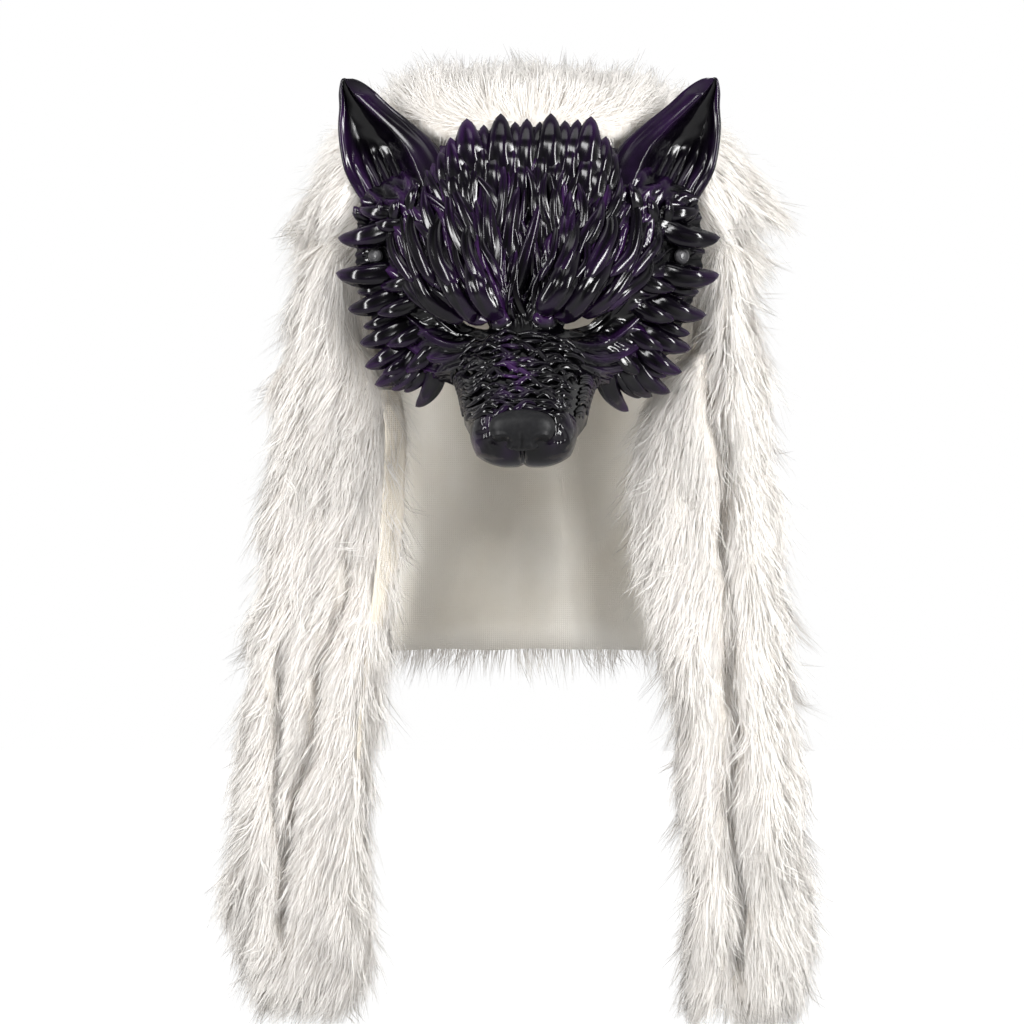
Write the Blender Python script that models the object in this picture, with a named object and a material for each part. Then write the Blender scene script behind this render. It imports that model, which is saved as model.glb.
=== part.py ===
"""Wolf half mask with ears, sewn into a long white fur hood with two hanging side panels.

Metres. X is to the viewer's right when the mask faces the viewer, the face looks along -Y, Z is up.
The origin is the inside of the hood's crown, where the top of a head rests.
"""
import math

import bmesh
import bpy
import numpy as np
from mathutils import Vector
from mathutils.bvhtree import BVHTree

GAP = 0.0003

MASK_HALF_WIDTH = 0.103
MASK_DEPTH = 0.110
MASK_HEIGHT = 0.196
MASK_RIM_Y = -0.076
MASK_TOP_Z = -0.014
MASK_WALL = 0.005

EAR_HEIGHT = 0.081
EAR_HALF_SPAN = 0.114
EAR_TIP_Z = 0.017
EAR_WALL = 0.0045
EAR_CUP = 0.020

EYE_LENGTH = 0.032
EYE_OPENING = 0.011

NOSE_WIDTH = 0.041
NOSE_HEIGHT = 0.024
NOSE_DEPTH = 0.017
NOSE_FLAT = 0.0035
LIP_WIDTH = 0.027
LIP_HEIGHT = 0.017

RIVET_DIAMETER = 0.0100
RIVET_DOME = 0.0030
RIVET_POST = 0.0036
RIVET_WASHER = 0.0010
BOSS_DIAMETER = 0.0150
BOSS_RISE = 0.0012

HOOD_HALF_WIDTH = 0.101
HOOD_HALF_DEPTH = 0.106
HOOD_HEIGHT = 0.330
HOOD_WALL = 0.002
FUR_DEPTH = 0.034
FUR_LEAN = 0.08

PANEL_LENGTH = 0.462
PANEL_WIDTH = 0.078
PANEL_DEPTH = 0.048
PANEL_TOP_Z = -0.078
FACING_WALL = 0.002
FACING_SINK = -0.0010

SEAT = 0.0009
FACE_COLUMNS = 49
FACE_STEPS = 41
FACE_GRAIN = 0.0013
FACE_TRIANGLES = 4700
FUR_GRAIN = 0.0024
FUR_TRIANGLES = 1500
PANEL_TRIANGLES = 850
HOOD_FRONT_COLUMNS = 6
HOOD_BACK_COLUMNS = 16
PANEL_SIDES = 14

# Half of each face section: drop and edge sag as shares of MASK_HEIGHT, four breadths as shares
# of MASK_HALF_WIDTH (ridge, slope, flank, edge) and five reaches as shares of MASK_DEPTH
# (middle, ridge, slope, flank, edge).
FACE_SECTIONS = {
    #            drop   sag    ridge  slope  flank  edge   middle ridge  slope  flank  edge
    "crown":    (0.000, 0.061, 0.136, 0.272, 0.388, 0.485, 0.227, 0.218, 0.200, 0.164, 0.127),
    "hairline": (0.072, 0.070, 0.175, 0.359, 0.544, 0.738, 0.282, 0.273, 0.245, 0.191, 0.109),
    "forehead": (0.169, 0.026, 0.214, 0.447, 0.699, 0.951, 0.336, 0.327, 0.291, 0.209, 0.073),
    "temple":   (0.286, 0.005, 0.233, 0.466, 0.728, 1.000, 0.382, 0.400, 0.355, 0.236, 0.036),
    "brow_top": (0.403, 0.000, 0.214, 0.447, 0.728, 1.010, 0.418, 0.482, 0.409, 0.245, 0.009),
    "brow":     (0.503, 0.000, 0.194, 0.408, 0.699, 0.961, 0.436, 0.527, 0.436, 0.236, -0.009),
    "eye":      (0.578, 0.015, 0.165, 0.350, 0.641, 0.893, 0.473, 0.455, 0.327, 0.218, 0.000),
    "bridge":   (0.645, 0.025, 0.194, 0.350, 0.602, 0.835, 0.573, 0.545, 0.391, 0.255, 0.018),
    "cheek":    (0.722, 0.005, 0.214, 0.359, 0.544, 0.738, 0.727, 0.700, 0.509, 0.273, 0.055),
    "muzzle":   (0.793, -0.030, 0.214, 0.359, 0.437, 0.583, 0.891, 0.864, 0.673, 0.382, 0.127),
    "nose":     (0.870, -0.092, 0.214, 0.340, 0.388, 0.417, 1.000, 0.955, 0.764, 0.509, 0.291),
    "lip":      (0.936, -0.100, 0.184, 0.301, 0.359, 0.388, 0.982, 0.936, 0.809, 0.627, 0.418),
    "hem":      (1.000, -0.090, 0.136, 0.243, 0.311, 0.359, 0.909, 0.891, 0.818, 0.709, 0.545),
}

# Pointed tufts along the side edge, one row for both sides: tip across (share of
# MASK_HALF_WIDTH), tip drop (share of MASK_HEIGHT), length and width (shares of
# MASK_HALF_WIDTH), heading in degrees below straight outward.
EDGE_TUFTS = {
    "temple_small": (1.000, 0.250, 0.20, 0.10, 15),
    "temple":       (1.116, 0.333, 0.34, 0.18, 24),
    "brow":         (1.116, 0.437, 0.34, 0.18, 30),
    "brow_small":   (1.006, 0.500, 0.22, 0.11, 32),
    "eye":          (1.043, 0.551, 0.32, 0.17, 36),
    "eye_small":    (0.953, 0.607, 0.22, 0.11, 42),
    "cheek_top":    (0.958, 0.661, 0.30, 0.15, 46),
    "cheek":        (0.920, 0.735, 0.30, 0.15, 52),
    "cheek_low":    (0.858, 0.790, 0.28, 0.15, 58),
    "jaw_back":     (0.756, 0.804, 0.26, 0.15, 66),
    "jaw":          (0.622, 0.855, 0.26, 0.15, 70),
}

# Tufts that stand up along the crown: tip across, tip drop, length, width, lean in degrees.
CROWN_TUFTS = {
    "far_left":  (-0.447, 0.031, 0.20, 0.13, 18),
    "left_wide": (-0.350, -0.030, 0.25, 0.17, 10),
    "left":      (-0.262, -0.020, 0.22, 0.12, 8),
    "near_left": (-0.155, -0.046, 0.25, 0.15, 4),
    "middle":    (-0.010, -0.020, 0.22, 0.14, 0),
    "near_right": (0.136, -0.046, 0.25, 0.15, -4),
    "right_wide": (0.340, -0.030, 0.25, 0.20, -8),
    "far_right": (0.456, 0.026, 0.20, 0.13, -18),
}

# Raised locks of both halves: root across and drop, tip across and drop, width and rise as
# shares of MASK_HALF_WIDTH, sideways bow as a share of the lock's length.
FACE_LOCKS = {
    "brow":          (0.730, 0.215, 0.170, 0.600, 0.330, 0.085, 0.10),
    "brow_outer":    (0.860, 0.330, 0.440, 0.520, 0.200, 0.055, 0.10),
    "forehead_in":   (0.120, 0.030, 0.075, 0.400, 0.150, 0.040, 0.05),
    "forehead_mid":  (0.330, 0.040, 0.200, 0.400, 0.170, 0.040, -0.08),
    "forehead_out":  (0.560, 0.100, 0.500, 0.300, 0.170, 0.040, 0.06),
    "ear_root":      (0.660, 0.300, 0.840, 0.205, 0.130, 0.045, 0.06),
    "temple":        (0.640, 0.440, 0.960, 0.420, 0.170, 0.045, 0.08),
    "cheek_high":    (0.560, 0.520, 0.900, 0.560, 0.170, 0.045, 0.08),
    "cheek_mid":     (0.440, 0.640, 0.760, 0.700, 0.160, 0.045, 0.08),
    "cheek_low":     (0.440, 0.700, 0.600, 0.800, 0.150, 0.040, 0.06),
    "muzzle_high":   (0.130, 0.640, 0.330, 0.740, 0.080, 0.025, 0.10),
    "muzzle_mid":    (0.120, 0.730, 0.350, 0.820, 0.080, 0.025, 0.10),
    "muzzle_tuft":   (0.370, 0.760, 0.425, 0.830, 0.080, 0.040, 0.04),
}

# Ear sections from tip to root: rise (share of EAR_HEIGHT), outer and inner edge across
# (shares of EAR_HALF_SPAN), forward reach of the inner edge (share of MASK_DEPTH) and depth of
# the scoop (share of EAR_CUP).
EAR_SECTIONS = {
    "tip":     (1.000, 0.975, 0.957, 0.055, 0.02),
    "point":   (0.930, 0.982, 0.900, 0.065, 0.16),
    "upper":   (0.790, 0.991, 0.780, 0.090, 0.42),
    "middle":  (0.640, 1.000, 0.640, 0.118, 0.70),
    "broad":   (0.480, 0.991, 0.500, 0.160, 0.90),
    "lower":   (0.300, 0.965, 0.425, 0.220, 0.70),
    "root":    (0.100, 0.890, 0.405, 0.280, 0.36),
    "buried":  (0.000, 0.840, 0.420, 0.300, 0.14),
}

# Hood sections from the crown down: drop (share of HOOD_HEIGHT), half breadth (share of
# HOOD_HALF_WIDTH), reach to front and back (shares of HOOD_HALF_DEPTH), angle of the front
# edge in degrees from straight ahead (0 for a full ring) and the fur's depth (share of
# FUR_DEPTH).
HOOD_SECTIONS = {
    "crown":     (-0.006, 0.000, 0.000, 0.000, 0, 0.58),
    "top":       (0.004, 0.376, 0.396, 0.425, 0, 0.70),
    "shoulder":  (0.036, 0.653, 0.623, 0.679, 0, 0.90),
    "browband":  (0.097, 0.851, 0.774, 0.868, 0, 1.14),
    "temple":    (0.176, 0.960, 0.849, 0.962, 52, 1.12),
    "ear":       (0.255, 1.000, 0.849, 1.000, 60, 1.00),
    "jaw":       (0.348, 0.990, 0.849, 0.981, 97, 0.72),
    "nape_top":  (0.485, 0.950, 0.800, 0.925, 98, 0.66),
    "nape":      (0.667, 0.890, 0.760, 0.830, 99, 0.62),
    "collar":    (0.818, 0.910, 0.760, 0.755, 99, 0.62),
    "hem":       (1.000, 1.030, 0.760, 0.811, 99, 0.58),
}

# Side panel sections from top to hem: drop (share of PANEL_LENGTH), inner and outer edge across
# (metres from the middle plane as shares of PANEL_WIDTH), front and back (shares of
# PANEL_DEPTH), depth of the groove between its two rolls and the groove's place across.
RIGHT_PANEL = {
    "top":      (0.000, 1.310, 1.667, -1.400, -0.150, 0.00, 0.60),
    "temple":   (0.070, 1.325, 1.705, -1.430, -0.130, 0.02, 0.55),
    "cheek":    (0.140, 1.300, 1.760, -1.480, -0.200, 0.08, 0.50),
    "mouth":    (0.214, 0.870, 1.825, -1.540, -0.560, 0.14, 0.52),
    "chin":     (0.344, 0.800, 1.890, -1.770, -0.780, 0.18, 0.56),
    "throat":   (0.461, 0.900, 1.950, -2.030, -1.020, 0.20, 0.50),
    "shoulder": (0.526, 1.050, 1.975, -2.190, -1.200, 0.21, 0.46),
    "chest":    (0.682, 1.165, 2.050, -2.440, -1.460, 0.22, 0.42),
    "waist":    (0.838, 1.240, 2.125, -2.540, -1.560, 0.22, 0.38),
    "foot":     (0.942, 1.170, 2.175, -2.540, -1.600, 0.20, 0.38),
    "hem":      (1.000, 1.260, 2.080, -2.460, -1.690, 0.12, 0.38),
}
LEFT_PANEL = {
    "top":      (0.000, 1.310, 1.760, -1.400, -0.150, 0.00, 0.60),
    "temple":   (0.070, 1.325, 1.830, -1.430, -0.130, 0.02, 0.60),
    "cheek":    (0.140, 1.300, 1.900, -1.480, -0.200, 0.06, 0.60),
    "mouth":    (0.214, 1.000, 1.950, -1.540, -0.560, 0.10, 0.64),
    "chin":     (0.344, 0.990, 2.020, -1.770, -0.780, 0.14, 0.66),
    "throat":   (0.461, 1.030, 2.070, -2.030, -1.020, 0.17, 0.66),
    "shoulder": (0.526, 1.060, 2.110, -2.190, -1.200, 0.19, 0.64),
    "chest":    (0.682, 1.170, 2.190, -2.440, -1.460, 0.22, 0.62),
    "waist":    (0.838, 1.230, 2.290, -2.540, -1.560, 0.22, 0.58),
    "foot":     (0.942, 1.160, 2.180, -2.540, -1.600, 0.18, 0.52),
    "hem":      (1.000, 1.330, 1.900, -2.460, -1.690, 0.10, 0.50),
}

# Fur locks on the hood: angle round the hood from straight ahead (right is positive), start
# along the sections, length, width and lift (shares of FUR_DEPTH), sideways sweep in degrees.
HOOD_LOCKS = {
    "crest_l2":    (-70, 1.1, 0.80, 0.55, 0.30, 0),
    "crest_r2":    (70, 1.1, 0.80, 0.55, 0.30, 0),
    "crown_l":     (-88, 2.0, 1.10, 0.60, 0.26, 0),
    "crown_r":     (88, 2.0, 1.10, 0.60, 0.26, 0),
    "side_l1":     (-72, 2.8, 1.20, 0.62, 0.26, 8),
    "side_r1":     (72, 2.8, 1.20, 0.62, 0.26, -8),
    "side_l2":     (-95, 3.0, 1.20, 0.62, 0.26, 4),
    "side_r2":     (95, 3.0, 1.20, 0.62, 0.26, -4),
    "side_l3":     (-82, 3.9, 1.30, 0.62, 0.28, 6),
    "side_r3":     (82, 3.7, 1.50, 0.66, 0.62, -6),
    "over_l1":     (-66, 3.5, 1.15, 0.70, 0.40, 0),
    "over_r1":     (66, 3.5, 1.15, 0.70, 0.40, 0),
    "over_l2":     (-88, 3.5, 1.30, 0.70, 0.45, 0),
    "over_r2":     (94, 3.5, 1.30, 0.70, 0.55, 0),
    "side_l4":     (-102, 4.2, 1.30, 0.62, 0.26, 0),
    "side_r4":     (102, 4.2, 1.30, 0.62, 0.26, 0),
    "back_l1":     (-135, 3.4, 1.40, 0.66, 0.24, 0),
    "back_r1":     (135, 3.4, 1.40, 0.66, 0.24, 0),
    "back_m1":     (180, 2.6, 1.40, 0.66, 0.24, 0),
    "back_l2":     (-122, 5.6, 1.50, 0.66, 0.22, 0),
    "back_r2":     (122, 5.6, 1.50, 0.66, 0.22, 0),
    "back_l3":     (-158, 5.2, 1.50, 0.66, 0.22, 0),
    "back_r3":     (158, 5.2, 1.50, 0.66, 0.22, 0),
    "back_m2":     (180, 7.0, 1.50, 0.66, 0.22, 0),
    "hem_l1":      (-112, 8.7, 1.50, 0.66, 0.20, 0),
    "hem_r1":      (112, 8.7, 1.50, 0.66, 0.20, 0),
    "hem_l2":      (-140, 8.8, 1.50, 0.66, 0.20, 0),
    "hem_r2":      (140, 8.8, 1.50, 0.66, 0.20, 0),
    "hem_m":       (180, 8.9, 1.50, 0.66, 0.20, 0),
}

# Fur locks on a side panel: start along the sections, place round the section in degrees
# (0 outer edge, 90 front, 180 inner edge), length, width and lift (shares of PANEL_WIDTH).
PANEL_LOCKS = {
    "outer_1": (2.2, 5, 0.52, 0.24, 0.10),
    "outer_2": (3.6, 0, 0.52, 0.24, 0.10),
    "outer_3": (5.0, 5, 0.52, 0.24, 0.10),
    "outer_4": (6.4, 0, 0.55, 0.24, 0.10),
    "outer_5": (7.6, 8, 0.55, 0.24, 0.09),
    "front_1": (4.0, 60, 0.60, 0.26, 0.07),
    "front_2": (5.6, 128, 0.60, 0.26, 0.07),
    "front_3": (7.0, 62, 0.60, 0.26, 0.07),
    "front_4": (7.9, 125, 0.60, 0.26, 0.07),
    "hem_out": (8.9, 30, 0.42, 0.22, 0.04),
    "hem_mid": (9.0, 82, 0.42, 0.24, 0.04),
    "hem_in":  (8.9, 138, 0.42, 0.22, 0.04),
    "back_1":  (5.0, 270, 0.60, 0.28, 0.07),
    "back_2":  (7.6, 260, 0.60, 0.28, 0.07),
}


def clear_scene():
    for obj in list(bpy.data.objects):
        bpy.data.objects.remove(obj, do_unlink=True)


def material(name, colour, roughness, coat=0.0):
    mat = bpy.data.materials.new(name)
    mat.use_nodes = True
    shader = mat.node_tree.nodes["Principled BSDF"]
    shader.inputs["Base Color"].default_value = (*colour, 1.0)
    shader.inputs["Roughness"].default_value = roughness
    shader.inputs["Coat Weight"].default_value = coat
    mat.diffuse_color = (*colour, 1.0)
    return mat


def spline(table, places):
    """Smooth values of a table's rows at fractional row numbers."""
    table = np.asarray(table, float)
    places = np.atleast_1d(np.asarray(places, float))
    first = 2.0 * table[:1] - table[1:2]
    last = 2.0 * table[-1:] - table[-2:-1]
    rows = np.concatenate([first, table, last])
    index = np.clip(np.floor(places).astype(int), 0, len(table) - 2)
    t = (places - index).reshape((-1,) + (1,) * (table.ndim - 1))
    a, b, c, d = rows[index], rows[index + 1], rows[index + 2], rows[index + 3]
    return 0.5 * (2 * b + (c - a) * t + (2 * a - 5 * b + 4 * c - d) * t ** 2
                  + (3 * b - a - 3 * c + d) * t ** 3)


def unit(vectors):
    vectors = np.asarray(vectors, float)
    return vectors / np.maximum(np.linalg.norm(vectors, axis=-1, keepdims=True), 1e-12)


def grid_normals(grid, wrap=False):
    along = np.gradient(grid, axis=0)
    if wrap:
        across = 0.5 * (np.roll(grid, -1, axis=1) - np.roll(grid, 1, axis=1))
    else:
        across = np.gradient(grid, axis=1)
    return unit(np.cross(across, along))


def mesh_object(name, points, faces):
    mesh = bpy.data.meshes.new(name)
    mesh.from_pydata([tuple(p) for p in points], [], faces)
    obj = bpy.data.objects.new(name, mesh)
    bpy.context.scene.collection.objects.link(obj)
    tidy(obj)
    return obj


def tidy(obj, near=2e-6):
    bm = bmesh.new()
    bm.from_mesh(obj.data)
    bmesh.ops.remove_doubles(bm, verts=bm.verts, dist=near)
    bmesh.ops.dissolve_degenerate(bm, edges=bm.edges, dist=near)
    wires = [e for e in bm.edges if not e.link_faces]
    bmesh.ops.delete(bm, geom=wires, context="EDGES")
    loose = [v for v in bm.verts if not v.link_faces]
    bmesh.ops.delete(bm, geom=loose, context="VERTS")
    bmesh.ops.recalc_face_normals(bm, faces=bm.faces)
    bm.to_mesh(obj.data)
    bm.free()


def wall_solid(name, front, back, cells, wrap=False):
    """Closed wall between two matching point grids, only where cells is true."""
    rows, columns = front.shape[:2]
    count = rows * columns
    points = np.concatenate([front.reshape(-1, 3), back.reshape(-1, 3)])
    faces = []
    sides = {}
    for r in range(rows - 1):
        for c in range(cells.shape[1]):
            if not cells[r, c]:
                continue
            n = (c + 1) % columns if wrap else c + 1
            quad = (r * columns + c, r * columns + n, (r + 1) * columns + n, (r + 1) * columns + c)
            for tri in ((quad[0], quad[1], quad[2]), (quad[0], quad[2], quad[3])):
                faces.append(tri)
                faces.append(tuple(count + i for i in reversed(tri)))
            for a, b in zip(quad, quad[1:] + quad[:1]):
                if (b, a) in sides:
                    del sides[(b, a)]
                else:
                    sides[(a, b)] = True
    for a, b in sides:
        faces.append((b, a, a + count, b + count))
    return mesh_object(name, points, faces)


def drop_loose(obj):
    """Keep the largest connected body of an object."""
    bm = bmesh.new()
    bm.from_mesh(obj.data)
    bm.verts.ensure_lookup_table()
    seen = set()
    groups = []
    for vert in bm.verts:
        if vert.index in seen:
            continue
        stack = [vert]
        group = []
        seen.add(vert.index)
        while stack:
            here = stack.pop()
            group.append(here)
            for edge in here.link_edges:
                other = edge.other_vert(here)
                if other.index not in seen:
                    seen.add(other.index)
                    stack.append(other)
        groups.append(group)
    groups.sort(key=len, reverse=True)
    for group in groups[1:]:
        bmesh.ops.delete(bm, geom=group, context="VERTS")
    bm.to_mesh(obj.data)
    bm.free()


def settle(base):
    """Turn the modifiers of an object into its mesh."""
    graph = bpy.context.evaluated_depsgraph_get()
    graph.update()
    mesh = bpy.data.meshes.new_from_object(base.evaluated_get(graph))
    base.modifiers.clear()
    old = base.data
    base.data = mesh
    bpy.data.meshes.remove(old)


def boolean(base, other, operation, solver="EXACT"):
    step = base.modifiers.new("step", "BOOLEAN")
    step.operation = operation
    step.solver = solver
    step.object = other
    settle(base)
    bpy.data.objects.remove(other, do_unlink=True)
    tidy(base)


def moulded(base, grain, triangles):
    """One skin over all the crossing bodies of an object, thinned to a number of triangles."""
    step = base.modifiers.new("skin", "REMESH")
    step.mode = "VOXEL"
    step.voxel_size = grain
    settle(base)
    base.data.calc_loop_triangles()
    count = len(base.data.loop_triangles)
    step = base.modifiers.new("thin", "DECIMATE")
    step.ratio = min(1.0, triangles / count)
    settle(base)
    drop_loose(base)
    tidy(base)


def grown(base, by, grain, triangles):
    """A fuller copy of a body, to cut room for it in what lies beside it."""
    mesh = base.data.copy()
    obj = bpy.data.objects.new("grown", mesh)
    bpy.context.scene.collection.objects.link(obj)
    normals = [v.normal.copy() for v in mesh.vertices]
    for vert, normal in zip(mesh.vertices, normals):
        vert.co = vert.co + normal * by
    moulded(obj, grain, triangles)
    return obj


def joined(name, bodies):
    """One mesh that holds several closed bodies."""
    points = []
    faces = []
    for body_points, body_faces in bodies:
        start = len(points)
        points.extend(body_points)
        faces.extend(tuple(start + i for i in face) for face in body_faces)
    return mesh_object(name, points, faces)


def lock(path, outward, width, depth, sides=6, blunt=0.16):
    """Closed lock of hair along a path: full near the root, drawn out to a point."""
    path = np.asarray(path, float)
    outward = unit(outward)
    steps = len(path)
    tangent = unit(np.gradient(path, axis=0))
    across = unit(np.cross(tangent, outward))
    lift = unit(np.cross(across, tangent))
    share = np.linspace(0.0, 1.0, steps)
    taper = spline([[0.62], [0.95], [1.0], [0.66], [blunt]], share * 4)[:, 0]
    points = []
    faces = []
    for i in range(steps - 1):
        for k in range(sides):
            a = 2 * math.pi * k / sides
            points.append(path[i] + across[i] * (0.5 * width * taper[i] * math.cos(a))
                          + lift[i] * (0.5 * depth * taper[i] * math.sin(a)))
    points.append(path[-1])
    tip = len(points) - 1
    for i in range(steps - 2):
        for k in range(sides):
            n = (k + 1) % sides
            faces.append((i * sides + k, i * sides + n, (i + 1) * sides + n, (i + 1) * sides + k))
    last = (steps - 2) * sides
    for k in range(sides):
        faces.append((last + k, last + (k + 1) % sides, tip))
    faces.append(tuple(reversed(range(sides))))
    return points, faces


def ellipsoid(centre, radii, sides=14, rings=8):
    points = [np.array(centre) + np.array((0, 0, radii[2]))]
    for r in range(1, rings):
        polar = math.pi * r / rings
        for k in range(sides):
            a = 2 * math.pi * k / sides
            points.append(np.array(centre) + np.array((
                radii[0] * math.sin(polar) * math.cos(a),
                radii[1] * math.sin(polar) * math.sin(a),
                radii[2] * math.cos(polar))))
    points.append(np.array(centre) - np.array((0, 0, radii[2])))
    faces = []
    for k in range(sides):
        n = (k + 1) % sides
        faces.append((0, 1 + k, 1 + n))
        for r in range(rings - 2):
            a = 1 + r * sides
            faces.append((a + k, a + sides + k, a + sides + n, a + n))
        a = 1 + (rings - 2) * sides
        faces.append((a + n, a + k, len(points) - 1))
    return points, faces


def turned(centre, axis, profile, sides=20):
    """Closed body of revolution: profile rows are (height along the axis, radius)."""
    axis = unit(axis)
    first = unit(np.cross(axis, (0.0, 0.0, 1.0)))
    second = np.cross(axis, first)
    points = []
    faces = []
    rings = []
    for height, radius in profile:
        start = len(points)
        if radius == 0:
            points.append(np.asarray(centre) + axis * height)
            rings.append([start])
            continue
        for k in range(sides):
            a = 2 * math.pi * k / sides
            points.append(np.asarray(centre) + axis * height
                          + radius * (math.cos(a) * first + math.sin(a) * second))
        rings.append(list(range(start, start + sides)))
    for low, high in zip(rings, rings[1:]):
        for k in range(sides):
            n = (k + 1) % sides
            if len(low) == 1:
                faces.append((low[0], high[k], high[n]))
            elif len(high) == 1:
                faces.append((low[n], low[k], high[0]))
            else:
                faces.append((low[n], low[k], high[k], high[n]))
    return points, faces


def face_grid(columns, steps):
    """Outer surface of the face: rows from crown to hem, columns from left edge to right edge."""
    control = []
    for drop, sag, *shares in FACE_SECTIONS.values():
        breadth = [0.0] + shares[:4]
        reach = shares[4:]
        half = []
        for k in range(5):
            half.append((
                MASK_HALF_WIDTH * breadth[k],
                MASK_RIM_Y - MASK_DEPTH * reach[k],
                MASK_TOP_Z - MASK_HEIGHT * (drop + sag * (k / 4) ** 2),
            ))
        mirror = [(-x, y, z) for x, y, z in reversed(half[1:])]
        control.append(mirror + half)
    control = np.array(control)
    across = np.linspace(0, 8, columns)
    rows = np.stack([spline(row, across) for row in control])
    return spline(rows, np.linspace(0, len(rows) - 1, steps))


def extended(grid, reach):
    """The grid with one more row and column all round, carried on along its own slope."""
    def beyond(edge, inner):
        step = edge - inner
        step[:, 1] = np.clip(step[:, 1], -0.2, 0.35 * np.linalg.norm(step[:, [0, 2]], axis=1))
        return edge + unit(step) * reach
    top = beyond(grid[0], grid[1])
    low = beyond(grid[-1], grid[-2])
    tall = np.concatenate([top[None], grid, low[None]])
    left = beyond(tall[:, 0], tall[:, 1])
    right = beyond(tall[:, -1], tall[:, -2])
    return np.concatenate([left[:, None], tall, right[:, None]], axis=1)


def grid_tree(grid):
    rows, columns = grid.shape[:2]
    faces = []
    for r in range(rows - 1):
        for c in range(columns - 1):
            a = r * columns + c
            faces.append((a, a + 1, a + columns + 1, a + columns))
    return BVHTree.FromPolygons([Vector(p) for p in grid.reshape(-1, 3)], faces)


def face_point(tree, x, z):
    """Point and outward direction of the face straight behind a place in the front view."""
    hit, normal, _, _ = tree.ray_cast(Vector((x, -1.0, z)), Vector((0, 1, 0)))
    if hit is None:
        hit, normal, _, _ = tree.find_nearest(Vector((x, MASK_RIM_Y, z)))
        hit = Vector((x, hit.y, z))
    if normal.y > 0:
        normal = -normal
    return np.array(hit), np.array(normal)


def surface_lock(tree, root, tip, width, depth, bow, rise, steps=6, sides=6):
    root = np.array(root, float)
    tip = np.array(tip, float)
    run = tip - root
    side = np.array((-run[1], run[0]))
    path = []
    outward = []
    for i in range(steps):
        t = i / (steps - 1)
        spot = root + run * t + side * (bow * math.sin(math.pi * t))
        point, normal = face_point(tree, spot[0], spot[1])
        height = rise * math.sin(math.pi * min(1.0, 0.25 + 0.75 * t)) ** 0.7
        path.append(point + normal * height)
        outward.append(normal)
    return lock(path, outward, width, depth, sides)


def outer_sheet(grid, offset):
    """Solid in front of (or behind) the face: the grid moved by offset, run to a far plane."""
    normals = grid_normals(grid)
    if normals[len(grid) // 2, grid.shape[1] // 2, 1] > 0:
        normals = -normals
    return grid + normals * offset


def plug(name, sheet, far_y):
    """Closed block between a sheet and a plane at far_y."""
    rows, columns = sheet.shape[:2]
    points = list(sheet.reshape(-1, 3))
    faces = []
    for r in range(rows - 1):
        for c in range(columns - 1):
            a = r * columns + c
            faces.append((a, a + 1, a + columns + 1, a + columns))
    rim = [c for c in range(columns)]
    rim += [r * columns + columns - 1 for r in range(1, rows)]
    rim += [(rows - 1) * columns + c for c in range(columns - 2, -1, -1)]
    rim += [r * columns for r in range(rows - 2, 0, -1)]
    start = len(points)
    for i in rim:
        x, _, z = points[i]
        points.append(np.array((x, far_y, z)))
    for k in range(len(rim)):
        n = (k + 1) % len(rim)
        faces.append((rim[k], rim[n], start + n, start + k))
    faces.append(tuple(start + k for k in range(len(rim))))
    return mesh_object(name, points, faces)


def nose_body(grow):
    """Rounded pad with a flat back, broad at the top and narrower below."""
    centre = nose_centre()
    sides, rings = 18, 7
    back = NOSE_FLAT + grow
    points = []
    faces = []
    for r in range(rings):
        t = r / (rings - 1)
        polar = math.pi * 0.5 * t
        for k in range(sides):
            a = 2 * math.pi * k / sides
            x = (NOSE_WIDTH / 2 + grow) * math.cos(a) * math.sin(polar) ** 0.7
            z = (NOSE_HEIGHT / 2 + grow) * math.sin(a) * math.sin(polar) ** 0.7
            x *= 1.0 - 0.16 * max(0.0, -math.sin(a))
            y = -(NOSE_DEPTH / 2 + grow) * math.cos(polar) ** 0.8
            if r == 0:
                x, z = 0.0, 0.0
            points.append(centre + np.array((x, y, z)))
    for k in range(sides):
        x, _, z = points[(rings - 1) * sides + k] - centre
        points.append(centre + np.array((x, back, z)))
    for r in range(rings):
        for k in range(sides):
            n = (k + 1) % sides
            a = r * sides
            faces.append((a + k, a + n, a + sides + n, a + sides + k))
    faces.append(tuple(rings * sides + k for k in range(sides)))
    return points, faces


def nose_centre():
    return np.array((0.0, MASK_RIM_Y - 0.985 * MASK_DEPTH, MASK_TOP_Z - 0.925 * MASK_HEIGHT))


def ear_sheet(side, offset):
    """Front face of the scooped ear moved back by offset, from its tip down to the brow."""
    rows = []
    across = np.linspace(-1.0, 1.0, 9)
    table = spline(list(EAR_SECTIONS.values()), np.linspace(0, len(EAR_SECTIONS) - 1, 12))
    root_z = EAR_TIP_Z - EAR_HEIGHT
    for rise, outer, inner, reach, cup in table:
        z = root_z + EAR_HEIGHT * rise
        row = []
        for s in across:
            t = (s + 1) / 2
            x = EAR_HALF_SPAN * (outer * (1 - t) + inner * t)
            y_outer = MASK_RIM_Y - 0.055 * MASK_DEPTH
            y_inner = MASK_RIM_Y - reach * MASK_DEPTH
            y = y_outer * (1 - t) + y_inner * t + EAR_CUP * cup * (1 - s * s) ** 0.75
            row.append((side * x, y, z))
        rows.append(row)
    front = np.array(rows)
    normals = grid_normals(front)
    if normals[6, 4, 1] < 0:
        normals = -normals
    return front + normals * offset


def ear_solid(side):
    front = ear_sheet(side, 0.0)
    cells = np.ones((len(front) - 1, front.shape[1] - 1), bool)
    obj = wall_solid("ear", front, ear_sheet(side, EAR_WALL), cells)
    points = [np.array(v.co) for v in obj.data.vertices]
    faces = [tuple(p.vertices) for p in obj.data.polygons]
    bpy.data.objects.remove(obj, do_unlink=True)
    return points, faces


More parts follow.
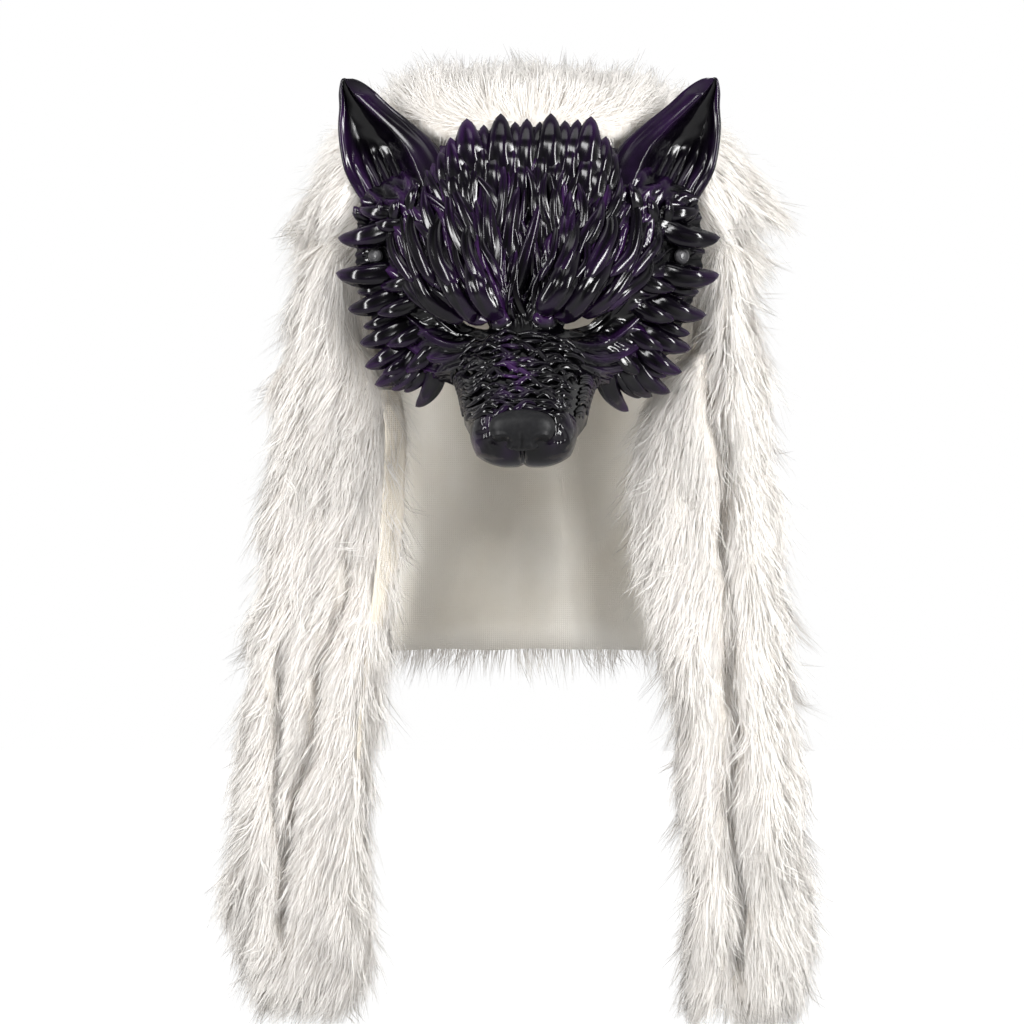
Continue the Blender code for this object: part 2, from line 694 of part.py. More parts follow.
def eye_cutter(side):
    centre_x = 0.350 * MASK_HALF_WIDTH
    centre_z = MASK_TOP_Z - 0.573 * MASK_HEIGHT
    tilt = math.radians(31)
    points = []
    faces = []
    sides = 14
    for y in (MASK_RIM_Y - 0.75 * MASK_DEPTH, MASK_RIM_Y + 0.3 * MASK_DEPTH):
        for k in range(sides):
            a = 2 * math.pi * k / sides
            along = EYE_LENGTH / 2 * math.cos(a)
            up = EYE_OPENING / 2 * math.sin(a) * (1.0 - 0.35 * abs(math.cos(a)))
            x = centre_x + along * math.cos(tilt) - up * math.sin(tilt)
            z = centre_z + along * math.sin(tilt) + up * math.cos(tilt)
            points.append(np.array((side * x, y, z)))
    for k in range(sides):
        n = (k + 1) % sides
        faces.append((k, n, sides + n, sides + k))
    faces.append(tuple(range(sides)))
    faces.append(tuple(range(sides, 2 * sides)))
    return points, faces


def rivet_place(tree, side):
    x = 0.885 * MASK_HALF_WIDTH
    z = MASK_TOP_Z - 0.390 * MASK_HEIGHT
    point, _ = face_point(tree, side * x, z)
    return point, np.array((side * 0.50, -0.866, 0.0))


def hood_sheet(offset_out):
    """Point rings of the hood's outer face and which cells the wall and the fur cover."""
    table = np.array(list(HOOD_SECTIONS.values()))
    columns = HOOD_FRONT_COLUMNS + HOOD_BACK_COLUMNS
    grid = np.zeros((len(table), columns, 3))
    for r, (drop, half, front, back, edge, _) in enumerate(table):
        edge = edge if edge > 0 else 48.0
        for c in range(columns):
            if c < HOOD_BACK_COLUMNS + 1:
                angle = edge + (360.0 - 2 * edge) * c / HOOD_BACK_COLUMNS
            else:
                angle = -edge + 2 * edge * (c - HOOD_BACK_COLUMNS) / HOOD_FRONT_COLUMNS
            grid[r, c] = hood_point(drop, half, front, back, angle)
    normals = hood_normals(grid)
    return grid + normals * offset_out, normals


def hood_point(drop, half, front, back, angle):
    a = math.radians(angle)
    x = HOOD_HALF_WIDTH * half * math.copysign(abs(math.sin(a)) ** 0.85, math.sin(a))
    reach = -front if math.cos(a) > 0 else back
    y = HOOD_HALF_DEPTH * reach * abs(math.cos(a)) ** 0.85
    return x, y, -HOOD_HEIGHT * drop


def hood_normals(grid):
    normals = grid_normals(grid, wrap=True)
    outward = grid - np.array((0.0, 0.0, -0.5 * HOOD_HALF_WIDTH))
    outward[:, :, 2] = np.where(np.arange(len(grid))[:, None] > 4, 0.0, outward[:, :, 2])
    flip = np.sum(normals * outward, axis=2) < 0
    normals[flip] *= -1
    normals[0] = (0.0, 0.0, 1.0)
    return normals


def hood_cells(fur):
    rows = len(HOOD_SECTIONS) - 1
    columns = HOOD_FRONT_COLUMNS + HOOD_BACK_COLUMNS
    cells = np.ones((rows, columns), bool)
    cells[3:, HOOD_BACK_COLUMNS:] = False
    return cells


def hood_outer(place, angle):
    """A point on the hood's fur at a fractional section and an angle."""
    table = np.array(list(HOOD_SECTIONS.values()))
    drop, half, front, back, _, depth = spline(table, [place])[0]
    point = np.array(hood_point(drop, half, front, back, angle))
    ahead = np.array(hood_point(drop, half, front, back, angle + 2)) - point
    lower = spline(table, [place + 0.05])[0]
    down = np.array(hood_point(*lower[:4], angle)) - point
    normal = unit(np.cross(ahead, down))
    if np.dot(normal, point - np.array((0.0, 0.0, -0.5 * HOOD_HALF_WIDTH))) < 0:
        normal = -normal
    return point, normal, FUR_DEPTH * depth


def hood_lock(angle, start, length, width, lift, sweep):
    path = []
    outward = []
    point, normal, depth = hood_outer(start, angle)
    ahead, _, _ = hood_outer(min(start + 0.2, len(HOOD_SECTIONS) - 1.01), angle + 0.2 * sweep)
    flow = unit(ahead - point)
    for t in np.linspace(0, 1, 5):
        raise_by = depth * 0.80 + FUR_DEPTH * lift * t
        spot = point + flow * (FUR_DEPTH * length * t) + normal * raise_by
        spot[2] -= 0.30 * FUR_DEPTH * length * t * t * (1.0 - abs(flow[2]))
        path.append(spot)
        outward.append(normal)
    return lock(path, outward, FUR_DEPTH * width, FUR_DEPTH * width * 0.55, 5)


def panel_rows(table, count, grow):
    """Section rings of a side panel from top to hem."""
    values = spline(list(table.values()), np.linspace(0, len(table) - 1, count))
    rings = []
    for drop, inner, outer, front, back, groove, place in values:
        rings.append(panel_ring(drop, inner, outer, front, back, groove, place, grow))
    return np.array(rings)


def panel_ring(drop, inner, outer, front, back, groove, place, grow, angles=None):
    if angles is None:
        angles = [360.0 * k / PANEL_SIDES for k in range(PANEL_SIDES)]
    middle = 0.5 * (inner + outer) * PANEL_WIDTH
    half = 0.5 * (outer - inner) * PANEL_WIDTH + grow
    centre = 0.5 * (front + back) * PANEL_DEPTH
    deep = 0.5 * (back - front) * PANEL_DEPTH + grow
    ring = []
    for angle in angles:
        a = math.radians(angle)
        c, s = math.cos(a), math.sin(a)
        x = middle + half * math.copysign(abs(c) ** 0.75, c)
        y = centre - deep * math.copysign(abs(s) ** 0.75, s)
        if s > 0:
            dent_x = middle - half + 2 * half * place
            y += groove * PANEL_DEPTH * math.exp(-((x - dent_x) / (0.16 * PANEL_WIDTH)) ** 2)
        ring.append((x, y, PANEL_TOP_Z - PANEL_LENGTH * drop))
    return ring


def panel_body(table, side, grow, count=16):
    rings = panel_rows(table, count, grow)
    if grow > 0:
        rings[0][:, 2] += grow
        rings[-1][:, 2] -= grow
    rings[:, :, 0] *= side
    points = list(rings.reshape(-1, 3))
    faces = []
    for r in range(count - 1):
        for k in range(PANEL_SIDES):
            n = (k + 1) % PANEL_SIDES
            a = r * PANEL_SIDES
            faces.append((a + k, a + n, a + PANEL_SIDES + n, a + PANEL_SIDES + k))
    faces.append(tuple(range(PANEL_SIDES)))
    faces.append(tuple((count - 1) * PANEL_SIDES + k for k in range(PANEL_SIDES)))
    return points, faces


def panel_lock(table, side, start, angle, length, width, lift):
    path = []
    outward = []
    last = len(table) - 1
    rows = list(table.values())
    step = length * PANEL_WIDTH / PANEL_LENGTH * last
    for t in np.linspace(0, 1, 5):
        place = min(start + step * t, last)
        values = spline(rows, [place])[0]
        ring = np.array(panel_ring(*values, 0.0, [angle - 3, angle, angle + 3]))
        point = ring[1]
        along = ring[2] - ring[0]
        normal = unit(np.array((-along[1], along[0], 0.0)))
        centre = np.array((0.5 * (values[1] + values[2]) * PANEL_WIDTH,
                           0.5 * (values[3] + values[4]) * PANEL_DEPTH, point[2]))
        if np.dot(normal, point - centre) < 0:
            normal = -normal
        spare = max(0.0, start + step * t - last) / last * PANEL_LENGTH
        point = point + normal * (PANEL_WIDTH * (lift * t - 0.05))
        if spare > 0:
            point = point + unit(centre - point) * 0.2 * spare
        point[2] -= spare
        path.append((side * point[0], point[1], point[2]))
        outward.append((side * normal[0], normal[1], 0.0))
    return lock(path, outward, PANEL_WIDTH * width, PANEL_WIDTH * width * 0.6, 5)


def facing_solid(table, side, under, over, margin):
    """Thin cream strip that wraps the inner front edge of a side panel."""
    rows = list(table.values())
    places = np.linspace(2.85 - margin / 40, 7.0 + margin / 40, 10)
    angles = np.linspace(130 - margin, 196 + margin, 5)
    front = []
    back = []
    for place in places:
        values = spline(rows, [place])[0]
        low = panel_ring(*values, under, angles)
        high = panel_ring(*values, over, angles)
        back.append([(side * x, y, z) for x, y, z in low])
        front.append([(side * x, y, z) for x, y, z in high])
    cells = np.ones((len(places) - 1, len(angles) - 1), bool)
    return wall_solid("facing", np.array(front), np.array(back), cells)


def finish(obj, name, mat):
    drop_loose(obj)
    tidy(obj, 4e-5)
    obj.name = name
    obj.data.name = name
    obj.data.materials.clear()
    obj.data.materials.append(mat)
    for polygon in obj.data.polygons:
        polygon.use_smooth = True
        polygon.material_index = 0
    obj.data.set_sharp_from_angle(angle=math.radians(38))
    return obj


clear_scene()

foam = material("dark_purple_foam", (0.035, 0.020, 0.060), 0.30, 0.6)
pad = material("matte_black_nose", (0.012, 0.012, 0.014), 0.62)
metal = material("black_rivet", (0.020, 0.020, 0.022), 0.45)
cloth = material("cream_backing", (0.74, 0.69, 0.60), 0.85)
pile = material("white_fur", (0.86, 0.84, 0.80), 0.95)
lining = material("cream_facing", (0.80, 0.75, 0.66), 0.85)

surface = face_grid(FACE_COLUMNS, FACE_STEPS)
wide = extended(surface, 0.17 * MASK_HALF_WIDTH)
tree = grid_tree(wide)

# Face shell with its raised locks, tufts and ears.
parts = []
inner = outer_sheet(surface, -MASK_WALL)
shell = wall_solid("shell", surface, inner, np.ones((FACE_STEPS - 1, FACE_COLUMNS - 1), bool))
for side in (-1, 1):
    for tip_x, tip_drop, length, width, heading in EDGE_TUFTS.values():
        a = math.radians(heading)
        tip = np.array((side * tip_x * MASK_HALF_WIDTH, MASK_TOP_Z - tip_drop * MASK_HEIGHT))
        back = np.array((-side * math.cos(a), math.sin(a))) * length * MASK_HALF_WIDTH
        parts.append(surface_lock(tree, tip + back, tip, width * MASK_HALF_WIDTH,
                                  min(0.55 * width * MASK_HALF_WIDTH, 1.7 * MASK_WALL),
                                  0.12 * side, 0.28 * MASK_WALL, 8, 10))
    for root_x, root_drop, tip_x, tip_drop, width, rise, bow in FACE_LOCKS.values():
        root = (side * root_x * MASK_HALF_WIDTH, MASK_TOP_Z - root_drop * MASK_HEIGHT)
        tip = (side * tip_x * MASK_HALF_WIDTH, MASK_TOP_Z - tip_drop * MASK_HEIGHT)
        parts.append(surface_lock(tree, root, tip, width * MASK_HALF_WIDTH,
                                  2.0 * rise * MASK_HALF_WIDTH, side * bow, 0.0, 10, 12))
for tip_x, tip_drop, length, width, lean in CROWN_TUFTS.values():
    a = math.radians(lean)
    tip = np.array((tip_x * MASK_HALF_WIDTH, MASK_TOP_Z - tip_drop * MASK_HEIGHT))
    back = np.array((math.sin(a), -math.cos(a))) * length * MASK_HALF_WIDTH
    parts.append(surface_lock(tree, tip + back, tip, width * MASK_HALF_WIDTH,
                              min(0.60 * width * MASK_HALF_WIDTH, 1.7 * MASK_WALL),
                              0.06, 0.28 * MASK_WALL, 7, 10))
nose_at = nose_centre()
spare = 0.0007
for side in (-1, 1):
    lip_at = np.array((side * 0.70 * LIP_WIDTH, 0.30 * NOSE_DEPTH, -0.52 * NOSE_HEIGHT))
    parts.append(ellipsoid(nose_at + lip_at,
                           (LIP_WIDTH / 2, 0.55 * NOSE_DEPTH, LIP_HEIGHT / 2), 16, 10))
    parts.append(ear_solid(side))
    place, axis = rivet_place(tree, side)
    deep = MASK_WALL + BOSS_RISE + spare
    parts.append(turned(place, axis, [(-deep, 0), (-deep, BOSS_DIAMETER / 2),
                                      (BOSS_RISE + spare, BOSS_DIAMETER / 2),
                                      (BOSS_RISE + spare, 0)], 24))
parts.append(([np.array(v.co) for v in shell.data.vertices],
              [tuple(p.vertices) for p in shell.data.polygons]))
bpy.data.objects.remove(shell, do_unlink=True)
face = joined("face", parts)
moulded(face, FACE_GRAIN, FACE_TRIANGLES)
cutters = [nose_body(GAP)]
for side in (-1, 1):
    cutters.append(eye_cutter(side))
    place, axis = rivet_place(tree, side)
    hole = RIVET_POST / 2 + GAP
    wide_cut = 0.56 * BOSS_DIAMETER
    deep = MASK_WALL + BOSS_RISE
    cutters.append(turned(place, axis, [(-deep - 0.008, 0), (-deep - 0.008, wide_cut),
                                        (-deep, wide_cut), (-deep, hole), (BOSS_RISE, hole),
                                        (BOSS_RISE, wide_cut), (BOSS_RISE + 0.006, wide_cut),
                                        (BOSS_RISE + 0.006, 0)], 16))
for cutter in cutters:
    boolean(face, joined("cut", [cutter]), "DIFFERENCE")
finish(face, "mask_face", foam)

nose = joined("nose_pad", [nose_body(0.0)])
finish(nose, "nose", pad)

for side, name in ((-1, "rivet_left"), (1, "rivet_right")):
    place, axis = rivet_place(tree, side)
    top = BOSS_RISE + GAP
    low = -MASK_WALL - BOSS_RISE - GAP
    profile = [(low - RIVET_WASHER, 0), (low - RIVET_WASHER, 0.45 * RIVET_DIAMETER),
               (low, 0.45 * RIVET_DIAMETER), (low, RIVET_POST / 2), (top, RIVET_POST / 2),
               (top, RIVET_DIAMETER / 2)]
    for k in range(1, 4):
        a = 0.5 * math.pi * k / 4
        profile.append((top + 0.0006 + (RIVET_DOME - 0.0006) * math.sin(a),
                        RIVET_DIAMETER / 2 * math.cos(a)))
    profile.append((top + RIVET_DOME, 0))
    finish(joined(name, [turned(place, axis, profile, 14)]), name, metal)

# Hood: a cloth wall, and the fur that stands on it.
sheet, outward = hood_sheet(0.0)
backing = wall_solid("backing", sheet, sheet - outward * HOOD_WALL, hood_cells(False), True)
finish(backing, "hood_backing", cloth)

depths = FUR_DEPTH * np.array([row[5] for row in HOOD_SECTIONS.values()])
thick = np.repeat(depths[:, None], sheet.shape[1], axis=1)
thin_front = np.array([1.0, 0.92, 0.78, 0.66])
thick[:4, HOOD_BACK_COLUMNS + 1:] *= thin_front[:, None]
side_share = unit(sheet[:, :, :2] + np.array((0.0, 1e-6)))[:, :, 0]
thick[1:] *= 1.0 - FUR_LEAN * side_share[1:]
fur_wall = wall_solid("fur", sheet + outward * thick[:, :, None],
                      sheet - outward * 0.15 * FUR_DEPTH, hood_cells(True), True)
bodies = [hood_lock(*row) for row in HOOD_LOCKS.values()]
bodies.append(([np.array(v.co) for v in fur_wall.data.vertices],
               [tuple(p.vertices) for p in fur_wall.data.polygons]))
bpy.data.objects.remove(fur_wall, do_unlink=True)
fur = joined("fur", bodies)
moulded(fur, FUR_GRAIN, FUR_TRIANGLES)
plain = extended(face_grid(25, 21), 0.17 * MASK_HALF_WIDTH)
behind = outer_sheet(plain, -MASK_WALL - SEAT)


def hood_block(offset, rows):
    """Solid block that fills the hood out to its outer face plus an offset."""
    rings, _ = hood_sheet(offset)
    rings = rings[:rows]
    foot = rings[-1:] - np.array((0.0, 0.0, 0.06 if rows == len(HOOD_SECTIONS) else 0.0))
    rings = np.concatenate([rings, foot]) if rows == len(HOOD_SECTIONS) else rings
    points = list(rings.reshape(-1, 3))
    columns = rings.shape[1]
    faces = []
    for r in range(len(rings) - 1):
        for c in range(columns):
            n = (c + 1) % columns
            a = r * columns
            faces.append((a + c, a + n, a + columns + n))
            faces.append((a + c, a + columns + n, a + columns + c))
    faces.append(tuple((len(rings) - 1) * columns + c for c in range(columns)))
    return mesh_object("hood_block", points, faces)


def trim_to_mask(obj):
    """Cut an object back to just behind the mask, its ears and its rivets."""
    boolean(obj, plug("front_block", behind, -0.35), "DIFFERENCE")
    boolean(obj, grown(face, 2.5 * SEAT, 0.8 * FUR_GRAIN, 2400), "DIFFERENCE")
    for side in (-1, 1):
        ear = extended(ear_sheet(side, EAR_WALL + SEAT), 0.0035)
        boolean(obj, plug("ear_block", ear, -0.35), "DIFFERENCE")
        place, axis = rivet_place(tree, side)
        reach = 0.55 * BOSS_DIAMETER
        body = turned(place, axis, [(-0.012, 0), (-0.012, reach), (0.02, reach), (0.02, 0)], 12)
        boolean(obj, joined("rivet_room", [body]), "DIFFERENCE")


for table, side in ((LEFT_PANEL, -1), (RIGHT_PANEL, 1)):
    room = joined("room", [panel_body(table, side, 1.6 * SEAT)])
    moulded(room, FUR_GRAIN, 500)
    boolean(fur, room, "DIFFERENCE", "MANIFOLD")
boolean(fur, hood_block(1.6 * GAP, len(HOOD_SECTIONS)), "DIFFERENCE")
trim_to_mask(fur)
finish(fur, "hood_fur", pile)

for table, side, name in ((LEFT_PANEL, -1, "panel_left"), (RIGHT_PANEL, 1, "panel_right")):
    bodies = [panel_body(table, side, 0.0)]
    bodies += [panel_lock(table, side, *row) for row in PANEL_LOCKS.values()]
    body = joined(name, bodies)
    moulded(body, FUR_GRAIN, PANEL_TRIANGLES)
    boolean(body, hood_block(1.6 * GAP, 6), "DIFFERENCE")
    trim_to_mask(body)
    if side < 0:
        room = facing_solid(table, side, FACING_SINK - SEAT, 0.2 * PANEL_WIDTH, 2.0)
        boolean(body, room, "DIFFERENCE")
    finish(body, name, pile)

strip = facing_solid(LEFT_PANEL, -1, FACING_SINK, FACING_SINK + FACING_WALL, 0.0)
finish(strip, "facing_left", lining)
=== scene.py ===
import math

import bmesh
import bpy
import numpy as np
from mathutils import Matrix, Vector
from mathutils.bvhtree import BVHTree
from mathutils.kdtree import KDTree


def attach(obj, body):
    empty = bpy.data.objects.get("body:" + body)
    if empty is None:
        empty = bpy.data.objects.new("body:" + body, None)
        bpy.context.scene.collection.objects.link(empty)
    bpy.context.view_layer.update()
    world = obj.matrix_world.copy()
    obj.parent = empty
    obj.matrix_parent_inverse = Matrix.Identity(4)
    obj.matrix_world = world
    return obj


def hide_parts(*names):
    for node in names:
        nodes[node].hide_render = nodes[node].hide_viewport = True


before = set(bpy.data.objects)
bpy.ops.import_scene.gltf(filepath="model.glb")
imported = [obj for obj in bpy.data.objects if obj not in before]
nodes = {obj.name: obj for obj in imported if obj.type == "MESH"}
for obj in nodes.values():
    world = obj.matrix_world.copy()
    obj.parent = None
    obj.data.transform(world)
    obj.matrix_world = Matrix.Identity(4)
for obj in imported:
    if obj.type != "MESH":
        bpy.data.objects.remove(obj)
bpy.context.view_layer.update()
rng = np.random.default_rng(11)

# The photograph's scale: metres in a pixel, and the pixels that lie on x = 0 and z = 0.
PIXEL = 0.0006
PIXEL_X = 528.0
PIXEL_Z = 105.0
# The column about which strands are mirrored, and the middle of the brows and the muzzle.
MIRROR_X = 524
MIDDLE_X = 521

# The mask in metres.
HALF_WIDTH = 0.103
DEPTH = 0.110
HEIGHT = 0.196
RIM_Y = -0.076
TOP_Z = -0.014
WALL = 0.005
SKIN_SINK = 0.0008

EYE_X = 0.350 * HALF_WIDTH
EYE_Z = TOP_Z - 0.573 * HEIGHT
EYE_TILT = math.radians(31)
EYE_HALF_LENGTH = 0.016
EYE_HALF_OPENING = 0.0055
# The same eye in the photograph: its middle on the right, and its half length and half height.
EYE_PIXEL = (586.5, 316.0)
EYE_PIXEL_HALF = (28.0, 10.5)
RIVET_X = 0.885 * HALF_WIDTH
RIVET_Z = TOP_Z - 0.39 * HEIGHT
RIVET_SEAT = 0.0058
NOSE_SEAT = (0.0225, 0.0140)
NOSE_AT = np.array((0.0, RIM_Y - 0.985 * DEPTH, TOP_Z - 0.925 * HEIGHT))

# Levels of the face from top to bottom: how far down, how far the sides drop, half widths at four
# columns and reach forward at five, as shares of the height, half width and depth.
FACE_SECTIONS = {
    "crown":    (0.000, 0.061, 0.136, 0.272, 0.388, 0.485, 0.227, 0.218, 0.200, 0.164, 0.127),
    "hairline": (0.072, 0.070, 0.175, 0.359, 0.544, 0.738, 0.282, 0.273, 0.245, 0.191, 0.109),
    "forehead": (0.169, 0.026, 0.214, 0.447, 0.699, 0.951, 0.336, 0.327, 0.291, 0.209, 0.073),
    "temple":   (0.286, 0.005, 0.233, 0.466, 0.728, 1.000, 0.382, 0.400, 0.355, 0.236, 0.036),
    "brow_top": (0.403, 0.000, 0.214, 0.447, 0.728, 1.010, 0.418, 0.482, 0.409, 0.245, 0.009),
    "brow":     (0.503, 0.000, 0.194, 0.408, 0.699, 0.961, 0.436, 0.527, 0.436, 0.236, -0.009),
    "eye":      (0.578, 0.015, 0.165, 0.350, 0.641, 0.893, 0.473, 0.455, 0.327, 0.218, 0.000),
    "bridge":   (0.645, 0.025, 0.194, 0.350, 0.602, 0.835, 0.573, 0.545, 0.391, 0.255, 0.018),
    "cheek":    (0.722, 0.005, 0.214, 0.359, 0.544, 0.738, 0.727, 0.700, 0.509, 0.273, 0.055),
    "muzzle":   (0.793, -0.030, 0.214, 0.359, 0.437, 0.583, 0.891, 0.864, 0.673, 0.382, 0.127),
    "nose":     (0.870, -0.092, 0.214, 0.340, 0.388, 0.417, 1.000, 0.955, 0.764, 0.509, 0.291),
    "lip":      (0.936, -0.100, 0.184, 0.301, 0.359, 0.388, 0.982, 0.936, 0.809, 0.627, 0.418),
    "hem":      (1.000, -0.090, 0.136, 0.243, 0.311, 0.359, 0.909, 0.891, 0.818, 0.709, 0.545),
}


def spline(table, places):
    """Smooth values of a table's rows at fractional row numbers, through every row."""
    table = np.asarray(table, float)
    places = np.atleast_1d(np.asarray(places, float))
    rows = np.concatenate([2 * table[:1] - table[1:2], table, 2 * table[-1:] - table[-2:-1]])
    index = np.clip(np.floor(places).astype(int), 0, len(table) - 2)
    t = (places - index).reshape((-1,) + (1,) * (table.ndim - 1))
    a, b, c, d = rows[index], rows[index + 1], rows[index + 2], rows[index + 3]
    return 0.5 * (2 * b + (c - a) * t + (2 * a - 5 * b + 4 * c - d) * t ** 2
                  + (3 * b - a - 3 * c + d) * t ** 3)


def unit(v):
    v = np.asarray(v, float)
    return v / np.maximum(np.linalg.norm(v, axis=-1, keepdims=True), 1e-12)


def ease(value, start, span):
    """0 up to the start, 1 from one span past it, and a straight rise between."""
    return np.clip((value - start) / span, 0, 1)


def bell(value):
    return np.exp(-value ** 2)


def face_grid(columns, steps):
    """The smooth face as a grid of points, from the top down and from left to right."""
    control = []
    for drop, sag, *shares in FACE_SECTIONS.values():
        breadth = [0.0] + shares[:4]
        reach = shares[4:]
        half = [(HALF_WIDTH * breadth[k], RIM_Y - DEPTH * reach[k],
                 TOP_Z - HEIGHT * (drop + sag * (k / 4) ** 2)) for k in range(5)]
        control.append([(-x, y, z) for x, y, z in reversed(half[1:])] + half)
    control = np.array(control)
    rows = np.stack([spline(row, np.linspace(0, 8, columns)) for row in control])
    return spline(rows, np.linspace(0, len(rows) - 1, steps))


def grid_normals(grid, at=None):
    """Normals of a grid, turned so that the one in the middle, or at a place given, looks forward."""
    n = unit(np.cross(np.gradient(grid, axis=1), np.gradient(grid, axis=0)))
    row, column = at or (n.shape[0] // 2, n.shape[1] // 2)
    return -n if n[row, column, 1] > 0 else n


def widened(grid, reach):
    """The grid with one more row and column all round, carried on along its own slope."""
    def beyond(edge, inner):
        step = edge - inner
        step[:, 1] = np.clip(step[:, 1], -0.2, 0.35 * np.linalg.norm(step[:, [0, 2]], axis=1))
        return edge + unit(step) * reach
    tall = np.concatenate([beyond(grid[0], grid[1])[None], grid, beyond(grid[-1], grid[-2])[None]])
    left = beyond(tall[:, 0], tall[:, 1])
    right = beyond(tall[:, -1], tall[:, -2])
    return np.concatenate([left[:, None], tall, right[:, None]], axis=1)


def px(x, y):
    """A pixel of the photograph as x and z in the object's frame."""
    return np.array(((x - PIXEL_X) * PIXEL, (PIXEL_Z - y) * PIXEL))


def grid_faces(rows, columns, wrap=False):
    r = np.arange(rows - 1)[:, None]
    c = np.arange(columns if wrap else columns - 1)[None, :]
    n = (c + 1) % columns
    return np.stack([r * columns + c, r * columns + n, (r + 1) * columns + n,
                     (r + 1) * columns + c], axis=-1).reshape(-1, 4)


def make_mesh(name, points, faces, smooth=True):
    """A mesh object from arrays; faces is an (n, k) array, or a list of such arrays."""
    points = np.asarray(points, float).reshape(-1, 3)
    groups = faces if isinstance(faces, list) else [faces]
    groups = [np.asarray(g, int) for g in groups if len(g)]
    loops = np.concatenate([g.reshape(-1) for g in groups])
    sizes = np.concatenate([np.full(len(g), g.shape[1]) for g in groups])
    starts = np.concatenate([[0], np.cumsum(sizes)[:-1]])
    mesh = bpy.data.meshes.new(name)
    mesh.vertices.add(len(points))
    mesh.vertices.foreach_set("co", points.astype(np.float32).ravel())
    mesh.loops.add(len(loops))
    mesh.loops.foreach_set("vertex_index", loops.astype(np.int32))
    mesh.polygons.add(len(sizes))
    mesh.polygons.foreach_set("loop_start", starts.astype(np.int32))
    mesh.update(calc_edges=True)
    mesh.polygons.foreach_set("use_smooth", np.full(len(sizes), smooth))
    obj = bpy.data.objects.new(name, mesh)
    bpy.context.scene.collection.objects.link(obj)
    return obj


def paint(obj, name, values):
    """A grey value for each vertex, read by the material."""
    layer = obj.data.color_attributes.new(name, "FLOAT_COLOR", "POINT")
    values = np.clip(np.asarray(values, float), 0, 1)
    rgba = np.ones((len(values), 4), np.float32)
    rgba[:, :3] = values[:, None]
    layer.data.foreach_set("color", rgba.ravel())


def tree_of(points, faces):
    return BVHTree.FromPolygons([Vector(p) for p in points], faces.tolist())


def dress(obj, node):
    """Let a piece move with the body and stand in for a node of the frame."""
    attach(obj, "root")
    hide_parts(node)


# Materials.
def set_inputs(node, inputs):
    """Set a node's inputs by name, with an underscore for a space."""
    for key, value in inputs.items():
        node.inputs[key.replace("_", " ")].default_value = value


def new_material(name, **inputs):
    mat = bpy.data.materials.new(name)
    mat.use_nodes = True
    shader = mat.node_tree.nodes["Principled BSDF"]
    set_inputs(shader, inputs)
    return mat, mat.node_tree, shader


def add_node(tree, kind, *sources, **inputs):
    """A node whose first inputs are joined to the sources."""
    node = tree.nodes.new("ShaderNode" + kind)
    for socket, source in zip(node.inputs, sources):
        tree.links.new(source, socket)
    set_inputs(node, inputs)
    return node


def attribute(tree, name):
    node = add_node(tree, "Attribute")
    node.attribute_name = name
    return node.outputs["Fac"]


def product(tree, first, second):
    node = add_node(tree, "Math", first, second)
    node.operation = "MULTIPLY"
    return node.outputs[0]


def ramp(tree, source, stops, target):
    """Colours over a value, joined to a target; a stop is a place and a colour, or a level of grey."""
    node = add_node(tree, "ValToRGB", source)
    elements = node.color_ramp.elements
    while len(elements) < len(stops):
        elements.new(0.5)
    for element, (place, colour) in zip(elements, stops):
        element.position = place
        element.color = (*colour, 1.0) if isinstance(colour, tuple) else (colour, colour, colour, 1.0)
    tree.links.new(node.outputs["Color"], target)


def noise(tree, scale, detail, roughness, stretch=None):
    where = add_node(tree, "TexCoord").outputs["Object"]
    if stretch:
        where = add_node(tree, "Mapping", where, Scale=stretch).outputs["Vector"]
    node = add_node(tree, "TexNoise", where, Scale=scale, Detail=detail, Roughness=roughness)
    return node.outputs["Fac"]


def bump(tree, shader, height, strength, distance):
    node = add_node(tree, "Bump", Strength=strength, Distance=distance)
    tree.links.new(height, node.inputs["Height"])
    tree.links.new(node.outputs["Normal"], shader.inputs["Normal"])


def foam_material():
    """Glossy coat over purple-black foam, with painted shade from a vertex layer: black in the grooves,
    with the foam's purple showing on the raised strands.
    """
    mat, tree, shader = new_material("glossy_purple_foam", Roughness=0.40, Coat_Weight=0.78,
                                     Coat_Roughness=0.165, Specular_IOR_Level=0.0)
    tone = product(tree, attribute(tree, "relief_shade"), noise(tree, 26.0, 4.0, 0.55))
    stops = [(0.08, (0.0008, 0.0007, 0.0011)), (0.22, (0.0024, 0.0012, 0.0042)),
             (0.34, (0.0110, 0.0034, 0.0195)), (0.52, (0.0330, 0.0090, 0.0560))]
    ramp(tree, tone, stops, shader.inputs["Base Color"])
    bump(tree, shader, noise(tree, 900.0, 3.0, 0.6), 0.10, 0.0004)
    return mat


def grained_material(name, low, high, scale, strength, distance, stretch=None, **inputs):
    """Two tones that follow one fine grain, which also stands up a little."""
    mat, tree, shader = new_material(name, **inputs)
    grain = noise(tree, scale, 4.0, 0.6, stretch)
    ramp(tree, grain, [(0.30, low), (0.70, high)], shader.inputs["Base Color"])
    bump(tree, shader, grain, strength, distance)
    return mat


def cloth_material(name, low, high):
    """Knitted cream cloth: a fine crossing weave with soft stains."""
    mat, tree, shader = new_material(name, Roughness=0.88, Sheen_Weight=0.25)
    ramp(tree, noise(tree, 18.0, 3.0, 0.5), [(0.30, low), (0.72, high)], shader.inputs["Base Color"])
    where = add_node(tree, "TexCoord").outputs["Object"]
    weave = []
    for direction in ("X", "Z"):
        wave = add_node(tree, "TexWave", where, Scale=260.0, Distortion=1.2)
        wave.bands_direction = direction
        weave.append(wave.outputs["Fac"])
    bump(tree, shader, product(tree, *weave), 0.35, 0.0006)
    return mat


